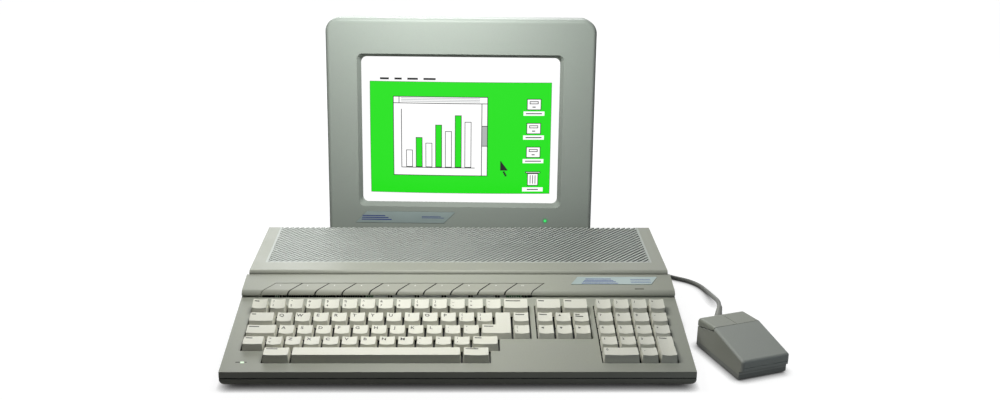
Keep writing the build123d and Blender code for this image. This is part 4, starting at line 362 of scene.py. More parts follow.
def rolled_metal(name, shade, roughness, brush_scale=(18.0, 900.0, 900.0), metallic=1.0, punched=None):
    """Sheet or turned metal with fine rolling lines, dull patches and perhaps punched holes painted as dark
    dots of shade.
    """
    material, tree, surface = new_material(name)
    place = own_place(tree)
    brush = noise(tree, stretched(tree, place, brush_scale), 1.0)
    dull = noise(tree, place, 55.0, 4.0)
    colour = tinted(tree, (*shade, 1), scaled(tree, dull, 0.3, 0.85))
    if punched is not None:
        # Punched holes are painted as dark dots: painted shade inside them
        holes = round_cells(tree, place, punched, 0.28, 0.24)
        colour = colour_mix(tree, holes, colour, (0.01, 0.01, 0.01, 1))
    rough = scaled(tree, dull, 0.1, scaled(tree, brush, 0.16, roughness - 0.08))
    inputs = {"Base Color": colour, "Roughness": rough, "Metallic": metallic}
    surface_shader(tree, surface, inputs, brush, 0.35, 0.00003)
    return material


shield_tin = rolled_metal("tinned shield steel", (0.60, 0.60, 0.585), 0.36)
dress("rf_shield", shield_tin)

# ------------------------
# Keyboard unit: power supply
# A closed box of galvanised steel beside the drive, screwed to the tray, with punched
# air holes painted on as dark dots of shade.
# ------------------------

supply_steel = rolled_metal("galvanised steel", (0.50, 0.51, 0.51), 0.44, (70.0, 70.0, 70.0), punched=160.0)
dress("power_supply", supply_steel)

# ------------------------
# Floppy disk drive
# A pressed steel frame with a moulded front in the right side of the case, an eject
# button, a brass-hubbed spindle, and a screw that draws the head carriage along.
# ------------------------

drive_steel = rolled_metal("drive frame steel", (0.56, 0.565, 0.57), 0.38)
hub_brass = rolled_metal("hub brass", (0.62, 0.46, 0.20), 0.32)
drive_plastic = moulded_plastic("drive front plastic", (0.36, 0.365, 0.32), 0.46, 0.05)[0]
carriage_plastic = moulded_plastic("head carriage plastic", (0.05, 0.05, 0.055), 0.42, 0.15)[0]
rotor_top = 0.0255
dress("drive_frame", drive_steel)
dress("drive_bezel", drive_plastic)
dress("eject_button", drive_plastic)
dress("drive_spindle", drive_steel, hub_brass, choose=above_board(rotor_top))
dress("head_leadscrew", rolled_metal("lead screw steel", (0.66, 0.66, 0.67), 0.24, (2400.0, 40.0, 40.0)))
dress("head_carriage", carriage_plastic)

# ------------------------
# Sockets and switches of the keyboard unit
# Black moulded sockets in the rear wall with nickelled shells and contacts, a rocker
# power switch, a reset button, the cartridge socket and the two ports at the right.
# ------------------------

socket_black = moulded_plastic("socket plastic", (0.022, 0.022, 0.024), 0.42, 0.2, 0.3)[0]
socket_nickel = rolled_metal("nickelled socket shell", (0.62, 0.61, 0.58), 0.26)
switch_black = moulded_plastic("switch plastic", (0.016, 0.016, 0.018), 0.3, 0.2, 0.5)[0]
rear_wall, monitor_back = 0.2802, 0.45


def is_shell(centre, normal):
    """What stands out of the unit's rear wall is nickelled, but not the monitor's sockets."""
    return 1 if rear_wall < centre.y < monitor_back and normal.y < 0.5 else 0


dress("rear_sockets", socket_black, socket_nickel, choose=is_shell)
dress("power_switch", switch_black)
dress("reset_button", switch_black)
dress("cartridge_socket", socket_black)
dress("mouse_ports", socket_black, socket_nickel, choose=lambda centre, normal: int(abs(normal.x) < 0.5))

# ------------------------
# Keyboard unit: upper case
# The deck, the raised band, the groove and the rear section are one ABS moulding,
# spark-textured and warm grey, a little smoother where the palms rest.
# ------------------------

case_plastic, tree, skin, shader = moulded_plastic(
    "upper case plastic", case_shade, 0.5, 0.055, 0.6, specular=0.32
)
palm_back, palm_front = unit_origin.y + 0.035, unit_origin.y - 0.002


def own_axes(tree):
    """The outputs X, Y and Z of a point's own coordinates."""
    return add_node(tree, "ShaderNodeSeparateXYZ", {"Vector": own_place(tree)}).outputs


palm = step_mask(tree, own_axes(tree)["Y"], palm_back, palm_front)
tree.links.new(scaled(tree, palm, -0.07, skin["Roughness"]), shader.inputs["Roughness"])
dress("top_case", case_plastic)

# ------------------------
# Keyboard unit: vent grille
# A separate moulding of the same plastic with slanted slots, let into the roof of the rear
# section; it is painted paler and cooler than the case around it, as painted light.
# ------------------------

# A paler and cooler shade than the case: painted light on the grille
grille_plastic = moulded_plastic("vent grille plastic", (0.46, 0.485, 0.455), 0.5, 0.04, 0.3)[0]
dress("vent_grille", grille_plastic)

# ------------------------
# Feet and case screws
# Pressed-in rubber feet under the keyboard unit and the monitor's stand, and zinc-
# plated screws that hold the two halves of the case together from below.
# ------------------------

foot_rubber = moulded_plastic("foot rubber", (0.028, 0.028, 0.028), 0.82, 0.3, 0.6, 0.00012, 0.3)[0]
dress("rubber_feet", foot_rubber)
dress("case_screws", rolled_metal("zinc plated steel", (0.58, 0.58, 0.54), 0.3, (90.0, 90.0, 900.0)))

# ------------------------
# Keyboard: plate and board
# The key stems run in a steel plate, and press domes on a board that hangs from the
# plate on short spacers. The plate is painted nearly black and the board a very dark
# green, as shade, so that the gaps between the caps and under the band look deep.
# ------------------------

# The plate is painted nearly black as the shade between the caps
dress("keyboard_plate", rolled_metal("key plate painted shade", (0.03, 0.03, 0.03), 0.5, metallic=0.3))
# The board is painted a very dark green, nearly black, as the shade under the band
board_painted_shade = moulded_plastic("key board painted shade", (0.012, 0.026, 0.015), 0.4, 0.2, 0.1)[0]
dress("keyboard_pcb", board_painted_shade)

# ------------------------
# Keyboard: key caps
# Hollow caps of cream ABS in five stepped rows, with a fine matt texture and legends
# printed in dark grey at the upper left.
# ------------------------

key_plastic = moulded_plastic("key cap plastic", (0.73, 0.725, 0.64), 0.42, 0.035, 0.25, 0.00003, 0.1)[0]

# Each cap's top: columns of one pitch in three blocks across the deck, rows up it
pitch, column_pitch = 0.01905, 0.01895
block_starts, block_gap = (15.75, 19.0), 0.0014
key_columns, key_rows = 23, 5
key_area_width = key_columns * column_pitch + len(block_starts) * block_gap
front_margin = 0.0127
deck_front_height = 0.0205
deck_slope = math.radians(11.65)
deck_up = Vector((0.0, -math.sin(deck_slope), math.cos(deck_slope)))
deck_along = Vector((0.0, math.cos(deck_slope), math.sin(deck_slope)))
cap_side_inset = 0.00195
cap_back_inset = 0.0022
cap_depth = 0.013


def deck_point(across, along, proud):
    """A point by its distance from the unit's middle, up the deck and off it."""
    base = unit_origin + Vector((across, 0.0, deck_front_height))
    return base + deck_along * along + deck_up * proud


def column_left(column):
    """Distance from the unit's middle to the left side of a column."""
    gaps = sum(1 for start in block_starts if column >= start)
    return column * column_pitch + gaps * block_gap - key_area_width / 2


def on_cap(row, left, right, across, down):
    """A place on a cap's top, by shares of its width and of its depth from the back."""
    low = column_left(left) + cap_side_inset
    high = column_left(right) - cap_side_inset
    back = front_margin + (key_rows + 1 - row) * pitch - cap_back_inset
    return low + (high - low) * across, back - cap_depth * down


outline_store = {}


def outline(text):
    """A character as flat points and faces, with capitals one unit tall, centred."""
    if text not in outline_store:
        curve = bpy.data.curves.new("character", "FONT")
        curve.body = text
        curve.align_x = "CENTER"
        curve.resolution_u = 3
        curve.offset = 0.014
        holder = bpy.data.objects.new("character", curve)
        scene.collection.objects.link(holder)
        shape = bpy.data.meshes.new_from_object(holder)
        points = [(v.co.x, v.co.y) for v in shape.vertices]
        faces = [tuple(face.vertices) for face in shape.polygons]
        bpy.data.objects.remove(holder)
        bpy.data.curves.remove(curve)
        bpy.data.meshes.remove(shape)
        outline_store[text] = (points, faces)
    return outline_store[text]


capital_height = max(y for x, y in outline("H")[0])


def character(text, centre, size, stretch=1.0):
    """A printed character: its points up the deck and its faces."""
    points, faces = outline(text)
    scale = size / capital_height
    middle = (min(x for x, y in points) + max(x for x, y in points)) / 2
    placed = [
        (centre[0] + (x - middle) * scale * stretch, centre[1] + y * scale - size / 2) for x, y in points
    ]
    return placed, faces


def bar(start, length, thickness):
    """A short plain bar that stands for a word, cut in cells so that it follows a dish."""
    cells = max(1, round(length / 0.0015))
    points = []
    for index in range(cells + 1):
        across = start[0] + length * index / cells
        points += [(across, start[1] - thickness / 2), (across, start[1] + thickness / 2)]
    faces = [(2 * i, 2 * i + 2, 2 * i + 3, 2 * i + 1) for i in range(cells)]
    return points, faces


def pointer(centre, size, turn):
    """A solid arrow head that points right before it is turned."""
    angles = (turn, turn + 2.2, turn - 2.2)
    corners = [(centre[0] + size * math.cos(a), centre[1] + size * math.sin(a)) for a in angles]
    return corners, [(0, 1, 2)]


def surface_of(node):
    """A search tree of a piece's faces, for laying print on them."""
    mesh = nodes[node].data
    points = [vertex.co.copy() for vertex in mesh.vertices]
    return BVHTree.FromPolygons(points, [tuple(face.vertices) for face in mesh.polygons])


def print_on(node, body, name, marks, ink, lift=0.00005):
    """Lays flat marks on a piece's upper face, square to the deck, as one thin layer."""
    below = surface_of(node)
    vertices, faces = [], []
    for points, mark_faces in marks:
        first = len(vertices)
        for across, along in points:
            start = deck_point(across, along, 0.06)
            hit = below.ray_cast(start, -deck_up, 0.12)[0]
            vertices.append((hit if hit is not None else start - deck_up * 0.05) + deck_up * lift)
        faces += [tuple(first + index for index in face) for face in mark_faces]
    layer = mesh_object(name, vertices, faces, ink)
    work = bmesh.new()
    work.from_mesh(layer.data)
    for face in work.faces:
        if face.normal.dot(deck_up) < 0:
            face.normal_flip()
    work.to_mesh(layer.data)
    work.free()
    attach(layer, body)
    return layer


key_ink = moulded_plastic("key print", (0.022, 0.022, 0.02), 0.5, 0.35, 0.0, 0.00001)[0]

letter_size = 0.0041
small_size = 0.0029
word_thickness = 0.0013


def letter(row, left, text):
    """One letter at the upper left of a square cap."""
    return character(text, on_cap(row, left, left + 1, 0.28, 0.30), letter_size, 1.06)


def pair(row, left, upper, lower):
    """Two signs, one over the other, at the left of a square cap."""
    return [
        character(upper, on_cap(row, left, left + 1, 0.19, 0.24), small_size),
        character(lower, on_cap(row, left, left + 1, 0.19, 0.70), small_size),
    ]


def word(row, left, right, length, down=0.2, inset=0.0016):
    """A bar near the upper left corner of a wide cap."""
    across, along = on_cap(row, left, right, 0.0, down)
    return bar((across + inset, along), length, word_thickness)


number_marks = [word(1, 0, 1, 0.0048)]
for index, (upper, lower) in enumerate(zip("!\"#$%^&*()_+~", "1234567890-=`")):
    number_marks += pair(1, index + 1, upper, lower)
number_marks.append(word(1, 14, 15.5, 0.0155))

second_marks = [word(2, 0, 1.5, 0.0042)]
second_marks += [letter(2, 1.5 + index, text) for index, text in enumerate("QWERTYUIOP")]
second_marks += pair(2, 11.5, "{", "[") + pair(2, 12.5, "}", "]")
second_marks.append(word(2, 14.5, 15.5, 0.0095))

third_marks = [word(3, 0, 1.75, 0.0105)]
third_marks += [letter(3, 1.75 + index, text) for index, text in enumerate("ASDFGHJKL")]
third_marks += pair(3, 10.75, ":", ";") + pair(3, 11.75, "\"", "'") + pair(3, 14.5, "|", "\\")

fourth_marks = pair(4, 1.25, ">", "<")
fourth_marks += [letter(4, 2.25 + index, text) for index, text in enumerate("ZXCVBNM")]
fourth_marks += pair(4, 9.25, "<", ",") + pair(4, 10.25, ">", ".") + pair(4, 11.25, "?", "/")

cursor_marks = [word(1, 15.75, 17.25, 0.0062), word(1, 17.25, 18.75, 0.0068)]
cursor_marks += [word(2, 15.75, 16.75, 0.0082), word(2, 17.75, 18.75, 0.0045)]
cursor_marks += [word(2, 17.75, 18.75, 0.0082, 0.42)]
for row, left, turn in ((2, 16.75, 0.5), (3, 15.75, 1.0), (3, 16.75, 1.5), (3, 17.75, 0.0)):
    cursor_marks.append(pointer(on_cap(row, left, left + 1, 0.28, 0.3), 0.0019, turn * math.pi))

keypad_marks = []
for row, texts in ((1, "()/*"), (2, "789-"), (3, "456+"), (4, "123")):
    for index, text in enumerate(texts):
        centre = on_cap(row, 19 + index, 20 + index, 0.2, 0.28)
        keypad_marks.append(character(text, centre, 0.0032))
keypad_marks.append(character("0", on_cap(5, 19, 21, 0.1, 0.28), 0.0032))
keypad_marks.append(character(".", on_cap(5, 21, 22, 0.2, 0.28), 0.0034, 1.5))

key_marks = {
    "number_row_keys": number_marks,
    "top_letter_keys": second_marks,
    "home_letter_keys": third_marks,
    "bottom_letter_keys": fourth_marks,
    "cursor_keys": cursor_marks,
    "keypad_keys": keypad_marks,
    "return_key": [word(3, 12.75, 14.5, 0.0098)],
    "left_shift_key": [word(4, 0, 1.25, 0.0068)],
    "right_shift_key": [word(4, 12.25, 13.75, 0.0068)],
    "alternate_key": [word(5, 1.25, 2.75, 0.0112, 0.16)],
    "caps_lock_key": [word(5, 11.75, 13.25, 0.0128, 0.16)],
    "enter_key": [word(4, 22, 23, 0.0078)],
    "space_bar": [],
}
for node, marks in key_marks.items():
    dress(node, key_plastic)
    if marks:
        print_on(node, node, node + "_legends", marks, key_ink)

# ------------------------
# Keyboard: function keys
# Ten slanted caps in a darker grey than the letter keys, flush with the band's rounded
# nose, each with a small pale number near its back left corner.
# ------------------------

function_first, function_pitch, function_slant = -0.2143, 0.02923, 0.0153
function_front, function_depth = 0.1195, 0.0162
function_plastic, tree, skin, shader = moulded_plastic(
    "function key plastic", (0.355, 0.36, 0.31), 0.46, 0.04, 0.3, 0.00004
)
# The slanted edges that face each other across a gap are painted dark as shade, so that the gap shows
gap_shade_start, gap_shade_end = 0.024, 0.034  # in shares of the keys' pitch
lean = function_slant / function_depth
start = unit_origin.x + function_first - (unit_origin.y + function_front) * lean
axes = own_axes(tree)
upright = scaled(tree, axes["Y"], -lean, axes["X"])
count = math_node(tree, "DIVIDE", math_node(tree, "SUBTRACT", upright, start), function_pitch)
# Mask of the painted shade along each gap
edge = step_mask(tree, math_node(tree, "PINGPONG", count, 0.5), gap_shade_end, gap_shade_start)
painted_gap_shade = colour_mix(tree, edge, skin["Colour"], (0.012, 0.012, 0.011, 1))
tree.links.new(painted_gap_shade, shader.inputs["Base Color"])
key_side_painted_shade = moulded_plastic("function key sides painted shade", (0.02, 0.02, 0.018), 0.6, 0.1, 0.2)[0]


def key_side(centre, normal):
    """The sides that face the next key are painted dark as shade."""
    return 1 if abs(normal.x) > 0.3 and normal.z < 0.6 else 0


dress("function_keys", function_plastic, key_side_painted_shade, choose=key_side)
pale_ink = moulded_plastic("function key print", (0.74, 0.74, 0.70), 0.5, 0.2, 0.0, 0.00001)[0]
function_marks = []
for index in range(10):
    back_left = function_first + function_pitch * index + function_slant
    centre = (back_left + 0.0052, (function_front + 0.0128) / math.cos(deck_slope))
    function_marks.append(character(str(index + 1), centre, 0.0021, 1.25))
print_on(
    "function_keys", "function_keys", "function_key_numbers", function_marks, pale_ink
)

# ------------------------
# Lights and badge plates
# Small clear lenses for power and disk on the keyboard unit and a green one on the
# monitor, and two blank brushed plates of pale anodised aluminium.
# ------------------------


def lens(name, shade, glow, strength):
    """A small moulded light lens, with a soft glow where it is lit."""
    material, tree, surface = new_material(name)
    swirl = noise(tree, own_place(tree), 700.0)
    inputs = {
        "Base Color": colour_mix(tree, swirl, (*(0.8 * c for c in shade), 1), (*shade, 1)),
        "Roughness": 0.14, "Emission Color": (*glow, 1), "Emission Strength": strength,
    }
    surface_shader(tree, surface, inputs, swirl, 0.3, 0.00005)
    return material


monitor_start, band_start = 0.25, 0.05


def lens_of(centre, normal):
    """Power lens at the front left, disk lens in the band, green lens on the monitor."""
    if centre.y > monitor_start:
        return 2
    return 0 if centre.y < band_start else 1


dress(
    "indicator_leds",
    lens("power lens", (0.5, 0.6, 0.48), (0.8, 1.0, 0.75), 0.7),
    lens("disk lens", (0.17, 0.17, 0.13), (0.2, 0.2, 0.1), 0.0),
    lens("monitor lens", (0.05, 0.5, 0.12), (0.05, 0.85, 0.16), 0.75),
    choose=lens_of,
)

# A short dark bar on each side of the power light
light_marks = [bar((-0.221, 0.0148), 0.0045, 0.0011), bar((-0.2115, 0.0148), 0.0015, 0.0011)]
print_on("top_case", "set", "power_light_bars", light_marks, key_ink)

# The plates carry plain pinstripes only
plate_group, entry, leave = finish_group("brushed plate", ())
tree = plate_group
place = own_place(tree)
brush = noise(tree, stretched(tree, place, (30.0, 1900.0, 1900.0)), 1.0)
cloud = noise(tree, place, 60.0, 3.0)
tree.links.new(tinted(tree, entry["Shade"], scaled(tree, cloud, 0.16, 0.92)), leave["Colour"])
tree.links.new(scaled(tree, brush, 0.2, 0.26), leave["Roughness"])
tree.links.new(brush, leave["Height"])


def plate_finish(name, shade, metallic):
    """Anodised aluminium, or the ink printed on it, brushed along its length."""
    material, tree, surface = new_material(name)
    skin = add_node(tree, "ShaderNodeGroup", {"Shade": (*shade, 1)}, node_tree=plate_group).outputs
    inputs = {"Base Color": skin["Colour"], "Roughness": skin["Roughness"], "Metallic": metallic}
    surface_shader(tree, surface, inputs, skin["Height"], 0.3, 0.00002)
    return material


plate_silver = plate_finish("anodised plate", (0.40, 0.485, 0.475), 0.35)
plate_blue = plate_finish("plate pinstripes", (0.035, 0.055, 0.26), 0.1)
dress("badge_plates", plate_silver)

# Pinstripes on the keyboard unit's plate, slanted at its left end like the plate
plate_slant, plate_depth, plate_margin = 0.0083, 0.0134, 0.003
stripe_step, fine_step = 0.0026, 0.0030
unit_marks = []
for index in range(4):
    along = (0.1362 + stripe_step * index) / math.cos(deck_slope)
    shift = plate_slant * (stripe_step * index + plate_margin) / plate_depth
    unit_marks.append(bar((0.1322 + shift, along), 0.040 - 0.004 * index, 0.0011))
for index in range(3):
    along = (0.1372 + fine_step * index) / math.cos(deck_slope)
    unit_marks.append(bar((0.1880, along), 0.022, 0.0007))
print_on("badge_plates", "set", "unit_plate_stripes", unit_marks, plate_blue)

# ------------------------
# Monitor: cabinet and front bezel
# Two ABS mouldings screwed together from behind: a bezel with a tapered reveal around
# the glass, and a cabinet that narrows towards the back, both on a moulded stand.
# ------------------------

monitor_turn = math.radians(-1.8)
monitor_lean = math.radians(6.6)
monitor_origin = Vector((-0.05012, -0.01307, 0.0))
monitor_across = Vector((math.cos(monitor_turn), math.sin(monitor_turn), 0.0))
monitor_deep = Vector((-math.sin(monitor_turn), math.cos(monitor_turn), 0.0))
face_up = monitor_deep * math.sin(monitor_lean) + Vector((0, 0, 1)) * math.cos(monitor_lean)
face_out = Vector((0, 0, 1)) * math.sin(monitor_lean) - monitor_deep * math.cos(monitor_lean)


def face_point(across, up, out=0.0):
    """A point by its place on the bezel's front plane and its distance before it."""
    return monitor_origin + monitor_across * across + face_up * up + face_out * out


bezel_shade = (0.325, 0.36, 0.325)
bezel_plastic, tree, skin, shader = moulded_plastic("monitor bezel plastic", bezel_shade, 0.44, 0.045, 0.4)

# The green light's glow is painted on the plastic close around its lens
lamp_place = face_point(0.1073, 0.05725)
halo_outer, halo_inner, halo_share = 0.0052, 0.0012, 0.75
reach = add_node(tree, "ShaderNodeVectorMath", {0: own_place(tree), 1: lamp_place}, operation="DISTANCE")
near = step_mask(tree, reach.outputs["Value"], halo_outer, halo_inner)
near = math_node(tree, "MULTIPLY", near, halo_share)
tree.links.new(colour_mix(tree, near, skin["Colour"], (0.06, 0.42, 0.14, 1)), shader.inputs["Base Color"])

cabinet_shade = tuple(0.96 * c for c in bezel_shade)
stand_shade = tuple(0.92 * c for c in bezel_shade)
cabinet_plastic = moulded_plastic("monitor cabinet plastic", cabinet_shade, 0.52, 0.06)[0]
stand_plastic = moulded_plastic("monitor stand plastic", stand_shade, 0.5, 0.06)[0]
dress("monitor_bezel", bezel_plastic)
dress("monitor_cabinet", cabinet_plastic)
dress("monitor_stand", stand_plastic)

# Pinstripes on the bezel's blank plate
stripe_lift = 0.00004
stripe_points, stripe_faces = [], []
plate_points = [v.co for v in nodes["badge_plates"].data.vertices if v.co.y > unit_origin.y + monitor_start]
plate_face = max((point - monitor_origin).dot(face_out) for point in plate_points)
for low, high, left, right in (
    (0.0562, 0.0574, -0.1240, -0.0860),
    (0.0586, 0.0598, -0.1234, -0.0900),
    (0.0610, 0.0622, -0.1228, -0.0940),
    (0.0590, 0.0597, -0.0480, -0.0200),
    (0.0606, 0.0613, -0.0480, -0.0240),
):
    first = len(stripe_points)
    corners = ((left, low), (right, low), (right, high), (left, high))
    stripe_points += [face_point(u, v, plate_face + stripe_lift) for u, v in corners]
    stripe_faces.append((first, first + 1, first + 2, first + 3))
monitor_stripes = mesh_object("monitor_plate_stripes", stripe_points, stripe_faces, plate_blue)
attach(monitor_stripes, "set")

# ------------------------
# Monitor: picture tube, yoke and chassis
# A tube of dark glass with a bulging face and a graphite coat on its cone and neck,
# copper windings on the neck, a dark green board with black parts, and a speaker.
# ------------------------

tube_glass, tree, surface = new_material("tube glass")
haze = scaled(tree, noise(tree, own_place(tree), 30.0, 3.0), 0.12, 0.06)
glass_inputs = {"Base Color": (0.03, 0.035, 0.035, 1), "Coat Weight": 0.6, "Roughness": haze}
surface_shader(tree, surface, glass_inputs)
cone_coat = moulded_plastic("graphite coat", (0.04, 0.04, 0.043), 0.6, 0.4, 0.3, 0.0001)[0]
tube_rim = -0.035


def tube_part(centre, normal):
    """The face is bare glass; what lies behind its rim is coated."""
    return 1 if (centre + unit_origin - monitor_origin).dot(face_out) < tube_rim else 0


dress("picture_tube", tube_glass, cone_coat, choose=tube_part)

winding_copper, tree, surface = new_material("copper winding")
wave_inputs = {"Vector": own_place(tree), "Scale": 260.0, "Distortion": 1.2, "Detail": 1.0}
turns = add_node(tree, "ShaderNodeTexWave", wave_inputs).outputs["Fac"]
varnish = colour_mix(tree, turns, (0.16, 0.05, 0.018, 1), (0.52, 0.20, 0.075, 1))
copper_inputs = {"Base Color": varnish, "Metallic": 0.6, "Roughness": 0.34}
surface_shader(tree, surface, copper_inputs, turns, 0.8, 0.0003)
dress("deflection_yoke", winding_copper)
chassis_top = 0.0780
dress("monitor_board", board_mask, chip_plastic, choose=above_board(chassis_top))

# ------------------------
# Monitor: knobs and power button
# Two ribbed control knobs and a push button of dark grey ABS in the right side wall.
# ------------------------

control_plastic = moulded_plastic("control plastic", (0.085, 0.09, 0.085), 0.4, 0.12, 0.4)[0]
for node in ("brightness_knob", "volume_knob", "monitor_power_button"):
    dress(node, control_plastic)

# ------------------------
# Monitor: the picture on the glass
# A plain desktop of this period: a white bar and border around a green field, with a
# window, a few drawers and a pointer, all of plain shapes, glowing on the bulging face.
# ------------------------

line_spacing = 0.0009


def phosphor(name, colour, strength):
    """A colour on the lit tube face, with the faint lines of the picture in it."""
    material, tree, surface = new_material(name)
    lines = math_node(tree, "MULTIPLY", own_axes(tree)["Z"], 2 * math.pi / line_spacing)
    level = scaled(tree, noise(tree, own_place(tree), 9.0, 1.0), 0.05, 0.955)
    level = scaled(tree, math_node(tree, "SINE", lines), 0.015, level)
    inputs = {
        "Base Color": (0.01, 0.01, 0.01, 1), "Roughness": 0.16, "Specular IOR Level": 0.12,
        "Emission Color": tinted(tree, (*colour, 1), level), "Emission Strength": strength,
    }
    surface_shader(tree, surface, inputs)
    return material


# Colours in the order in which the shapes below name them
picture_white, picture_green, picture_black, picture_grey = range(4)
picture_colours = [
    phosphor("picture white", (1.0, 1.0, 1.0), 1.04),
    phosphor("picture green", (0.012, 0.77, 0.006), 1.0),
    phosphor("picture black", (0.012, 0.014, 0.014), 1.0),
    phosphor("picture grey", (0.45, 0.47, 0.47), 1.0),
]

# Shapes from back to front: colour, left, right, bottom and top on the face, in mm
picture_shapes = [
    (picture_white, -128, 128, 70, 268),
    (picture_black, -112.9, 112.6, 89.3, 230.1),
    (picture_green, -112.5, 112.2, 89.7, 229.7),
]


def framed(left, right, bottom, top, line=0.9, fill=picture_white):
    """A box with a thin dark outline."""
    picture_shapes.append((picture_black, left, right, bottom, top))
    picture_shapes.append((fill, left + line, right - line, bottom + line, top - line))


# Bar of plain menu blocks along the top
for left, width in ((-100, 11), (-82, 9), (-66, 13), (-46, 15)):
    picture_shapes.append((picture_black, left, left + width, 232.2, 234.6))
# A window with a title strip, a scroll strip and a bar chart
framed(-84, 34, 112, 212)
framed(-84, 34, 203, 212)
for level in (205.4, 207.4, 209.4):
    picture_shapes.append((picture_grey, -74, 24, level, level + 0.8))
framed(-84, -76, 203, 212)
framed(26, 34, 112, 203.9)
framed(26, 34, 150, 176, fill=picture_grey)
picture_shapes.append((picture_black, -74, -73.1, 122, 196))
picture_shapes.append((picture_black, -74, 18, 122, 122.9))
for index, tall in enumerate((22, 38, 31, 54, 46, 66, 58)):
    left = -68 + index * 12.2
    framed(left, left + 8.4, 122.9, 122.9 + tall, 0.8, picture_green if index % 2 else picture_white)
# Drawers and a bin down the right side, each with a plain name strip
for bottom in (196, 166, 136):
    framed(82, 100, bottom, bottom + 14)
    framed(85.5, 96.5, bottom + 7.4, bottom + 11)
    picture_shapes.append((picture_black, 89, 93, bottom + 3.2, bottom + 4.4))
    picture_shapes.append((picture_white, 78, 104, bottom - 7, bottom - 1.6))
    picture_shapes.append((picture_black, 81, 101, bottom - 5, bottom - 3.8))
framed(84, 98, 100, 116)
framed(81.5, 100.5, 116, 118.4)
for left in (87.4, 90.5, 93.6):
    picture_shapes.append((picture_black, left, left + 0.9, 102.5, 113.5))
picture_shapes.append((picture_white, 78, 104, 92.4, 97.8))
picture_shapes.append((picture_black, 84, 98, 94.4, 95.6))
# Pointer, in short steps
for step in range(8):
    picture_shapes.append((picture_black, 50, 51.4 + step * 1.1, 130 - step * 1.5, 131.5 - step * 1.5))
for step in range(3):
    left, bottom = 53.4 + step * 1.1, 116 - step * 2
    picture_shapes.append((picture_black, left, left + 2.4, bottom, bottom + 2.4))

dome_radius = 1.3854
dome_apex = -0.00729
screen_across, screen_up = -0.00035, 0.16925
picture_lift, sheet_cell = 0.0002, 8.0


def on_glass(across, up):
    """A point just before the glass, which bulges as part of a ball."""
    away = (across - screen_across) ** 2 + (up - screen_up) ** 2
    sink = dome_radius - math.sqrt(dome_radius**2 - away)
    return face_point(across, up, dome_apex - sink + picture_lift)


def cut_lines(low, high, edges, spacing):
    """Sorted cuts at every edge, with more between them so that the sheet bends."""
    cuts = sorted({low, high, *(edge for edge in edges if low < edge < high)})
    lines = [cuts[0]]
    for cut in cuts[1:]:
        count = max(1, math.ceil((cut - lines[-1]) / spacing))
        start = lines[-1]
        lines += [start + (cut - start) * step / count for step in range(1, count + 1)]
    return lines


columns = cut_lines(-125.0, 124.3, [edge for shape in picture_shapes for edge in shape[1:3]], sheet_cell)
rows = cut_lines(76.3, 262.2, [edge for shape in picture_shapes for edge in shape[3:5]], sheet_cell)
points = [on_glass(u / 1000, v / 1000) for v in rows for u in columns]
faces, colours = [], []
for j in range(len(rows) - 1):
    for i in range(len(columns) - 1):
        first = j * len(columns) + i
        faces.append((first, first + 1, first + len(columns) + 1, first + len(columns)))
        u = (columns[i] + columns[i + 1]) / 2
        v = (rows[j] + rows[j + 1]) / 2
        covering = [
            colour
            for colour, left, right, bottom, top in picture_shapes
            if left < u < right and bottom < v < top
        ]
        colours.append(covering[-1])
picture = mesh_object("screen_picture", points, faces)
picture.visible_diffuse = False
picture.visible_glossy = False
for colour in picture_colours:
    picture.data.materials.append(colour)
for face, colour in zip(picture.data.polygons, colours):
    face.material_index = colour
    face.use_smooth = True
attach(picture, "set")

# ------------------------
# Mouse: shell, buttons and base
# Two ABS halves that snap together, close to the case's grey, with two sprung buttons
# at the front that are a little glossier than the shell.
# ------------------------

button_shade = tuple(0.92 * c for c in (0.335, 0.35, 0.30))
mouse_plastic = moulded_plastic("mouse plastic", (0.385, 0.402, 0.37), 0.44, 0.05, 0.5)[0]
button_plastic = moulded_plastic("mouse button plastic", button_shade, 0.4, 0.05, 0.5)[0]
base_plastic = moulded_plastic("mouse base plastic", (0.26, 0.27, 0.25), 0.5, 0.06, 0.6)[0]
# A darker copy of the shell plastic for its sides: painted shade
mouse_side_painted_shade = moulded_plastic("mouse side painted shade", (0.33, 0.34, 0.29), 0.44, 0.05, 0.5)[0]


def shell_side(centre, normal):
    """The shell's upright sides, away from its heel, are painted a little darker as shade."""
    return 1 if normal.z < 0.3 and normal.y > -0.5 else 0


dress("mouse_shell", mouse_plastic, mouse_side_painted_shade, choose=shell_side)
dress("left_button", button_plastic)
dress("right_button", button_plastic)
dress("mouse_base", base_plastic)

# ------------------------
# Mouse: ball, ring, rollers and board
# A steel ball coated in dark grey rubber, held by a turning ring, drives two small
# rollers with slotted wheels between light gates on the board.
# ------------------------

ball_rubber = moulded_plastic("ball rubber", (0.075, 0.078, 0.08), 0.68, 0.25, 0.5, 0.00008, 0.35)[0]
roller_plastic = moulded_plastic("roller plastic", (0.62, 0.62, 0.58), 0.36, 0.08, 0.2)[0]
dress("mouse_ball", ball_rubber)
dress("ball_ring", base_plastic)
dress("ball_roller", roller_plastic)
dress("side_roller", roller_plastic)
mouse_board_top = 0.0067
dress("mouse_board", board_mask, chip_plastic, choose=above_board(mouse_board_top))

# ------------------------
# Mouse cord
# A round grey PVC cord, 4.8 mm thick and limp. It leaves the boot at the mouse's front,
# goes behind the keyboard unit, is wound into a flat coil and runs to its port.
# ------------------------

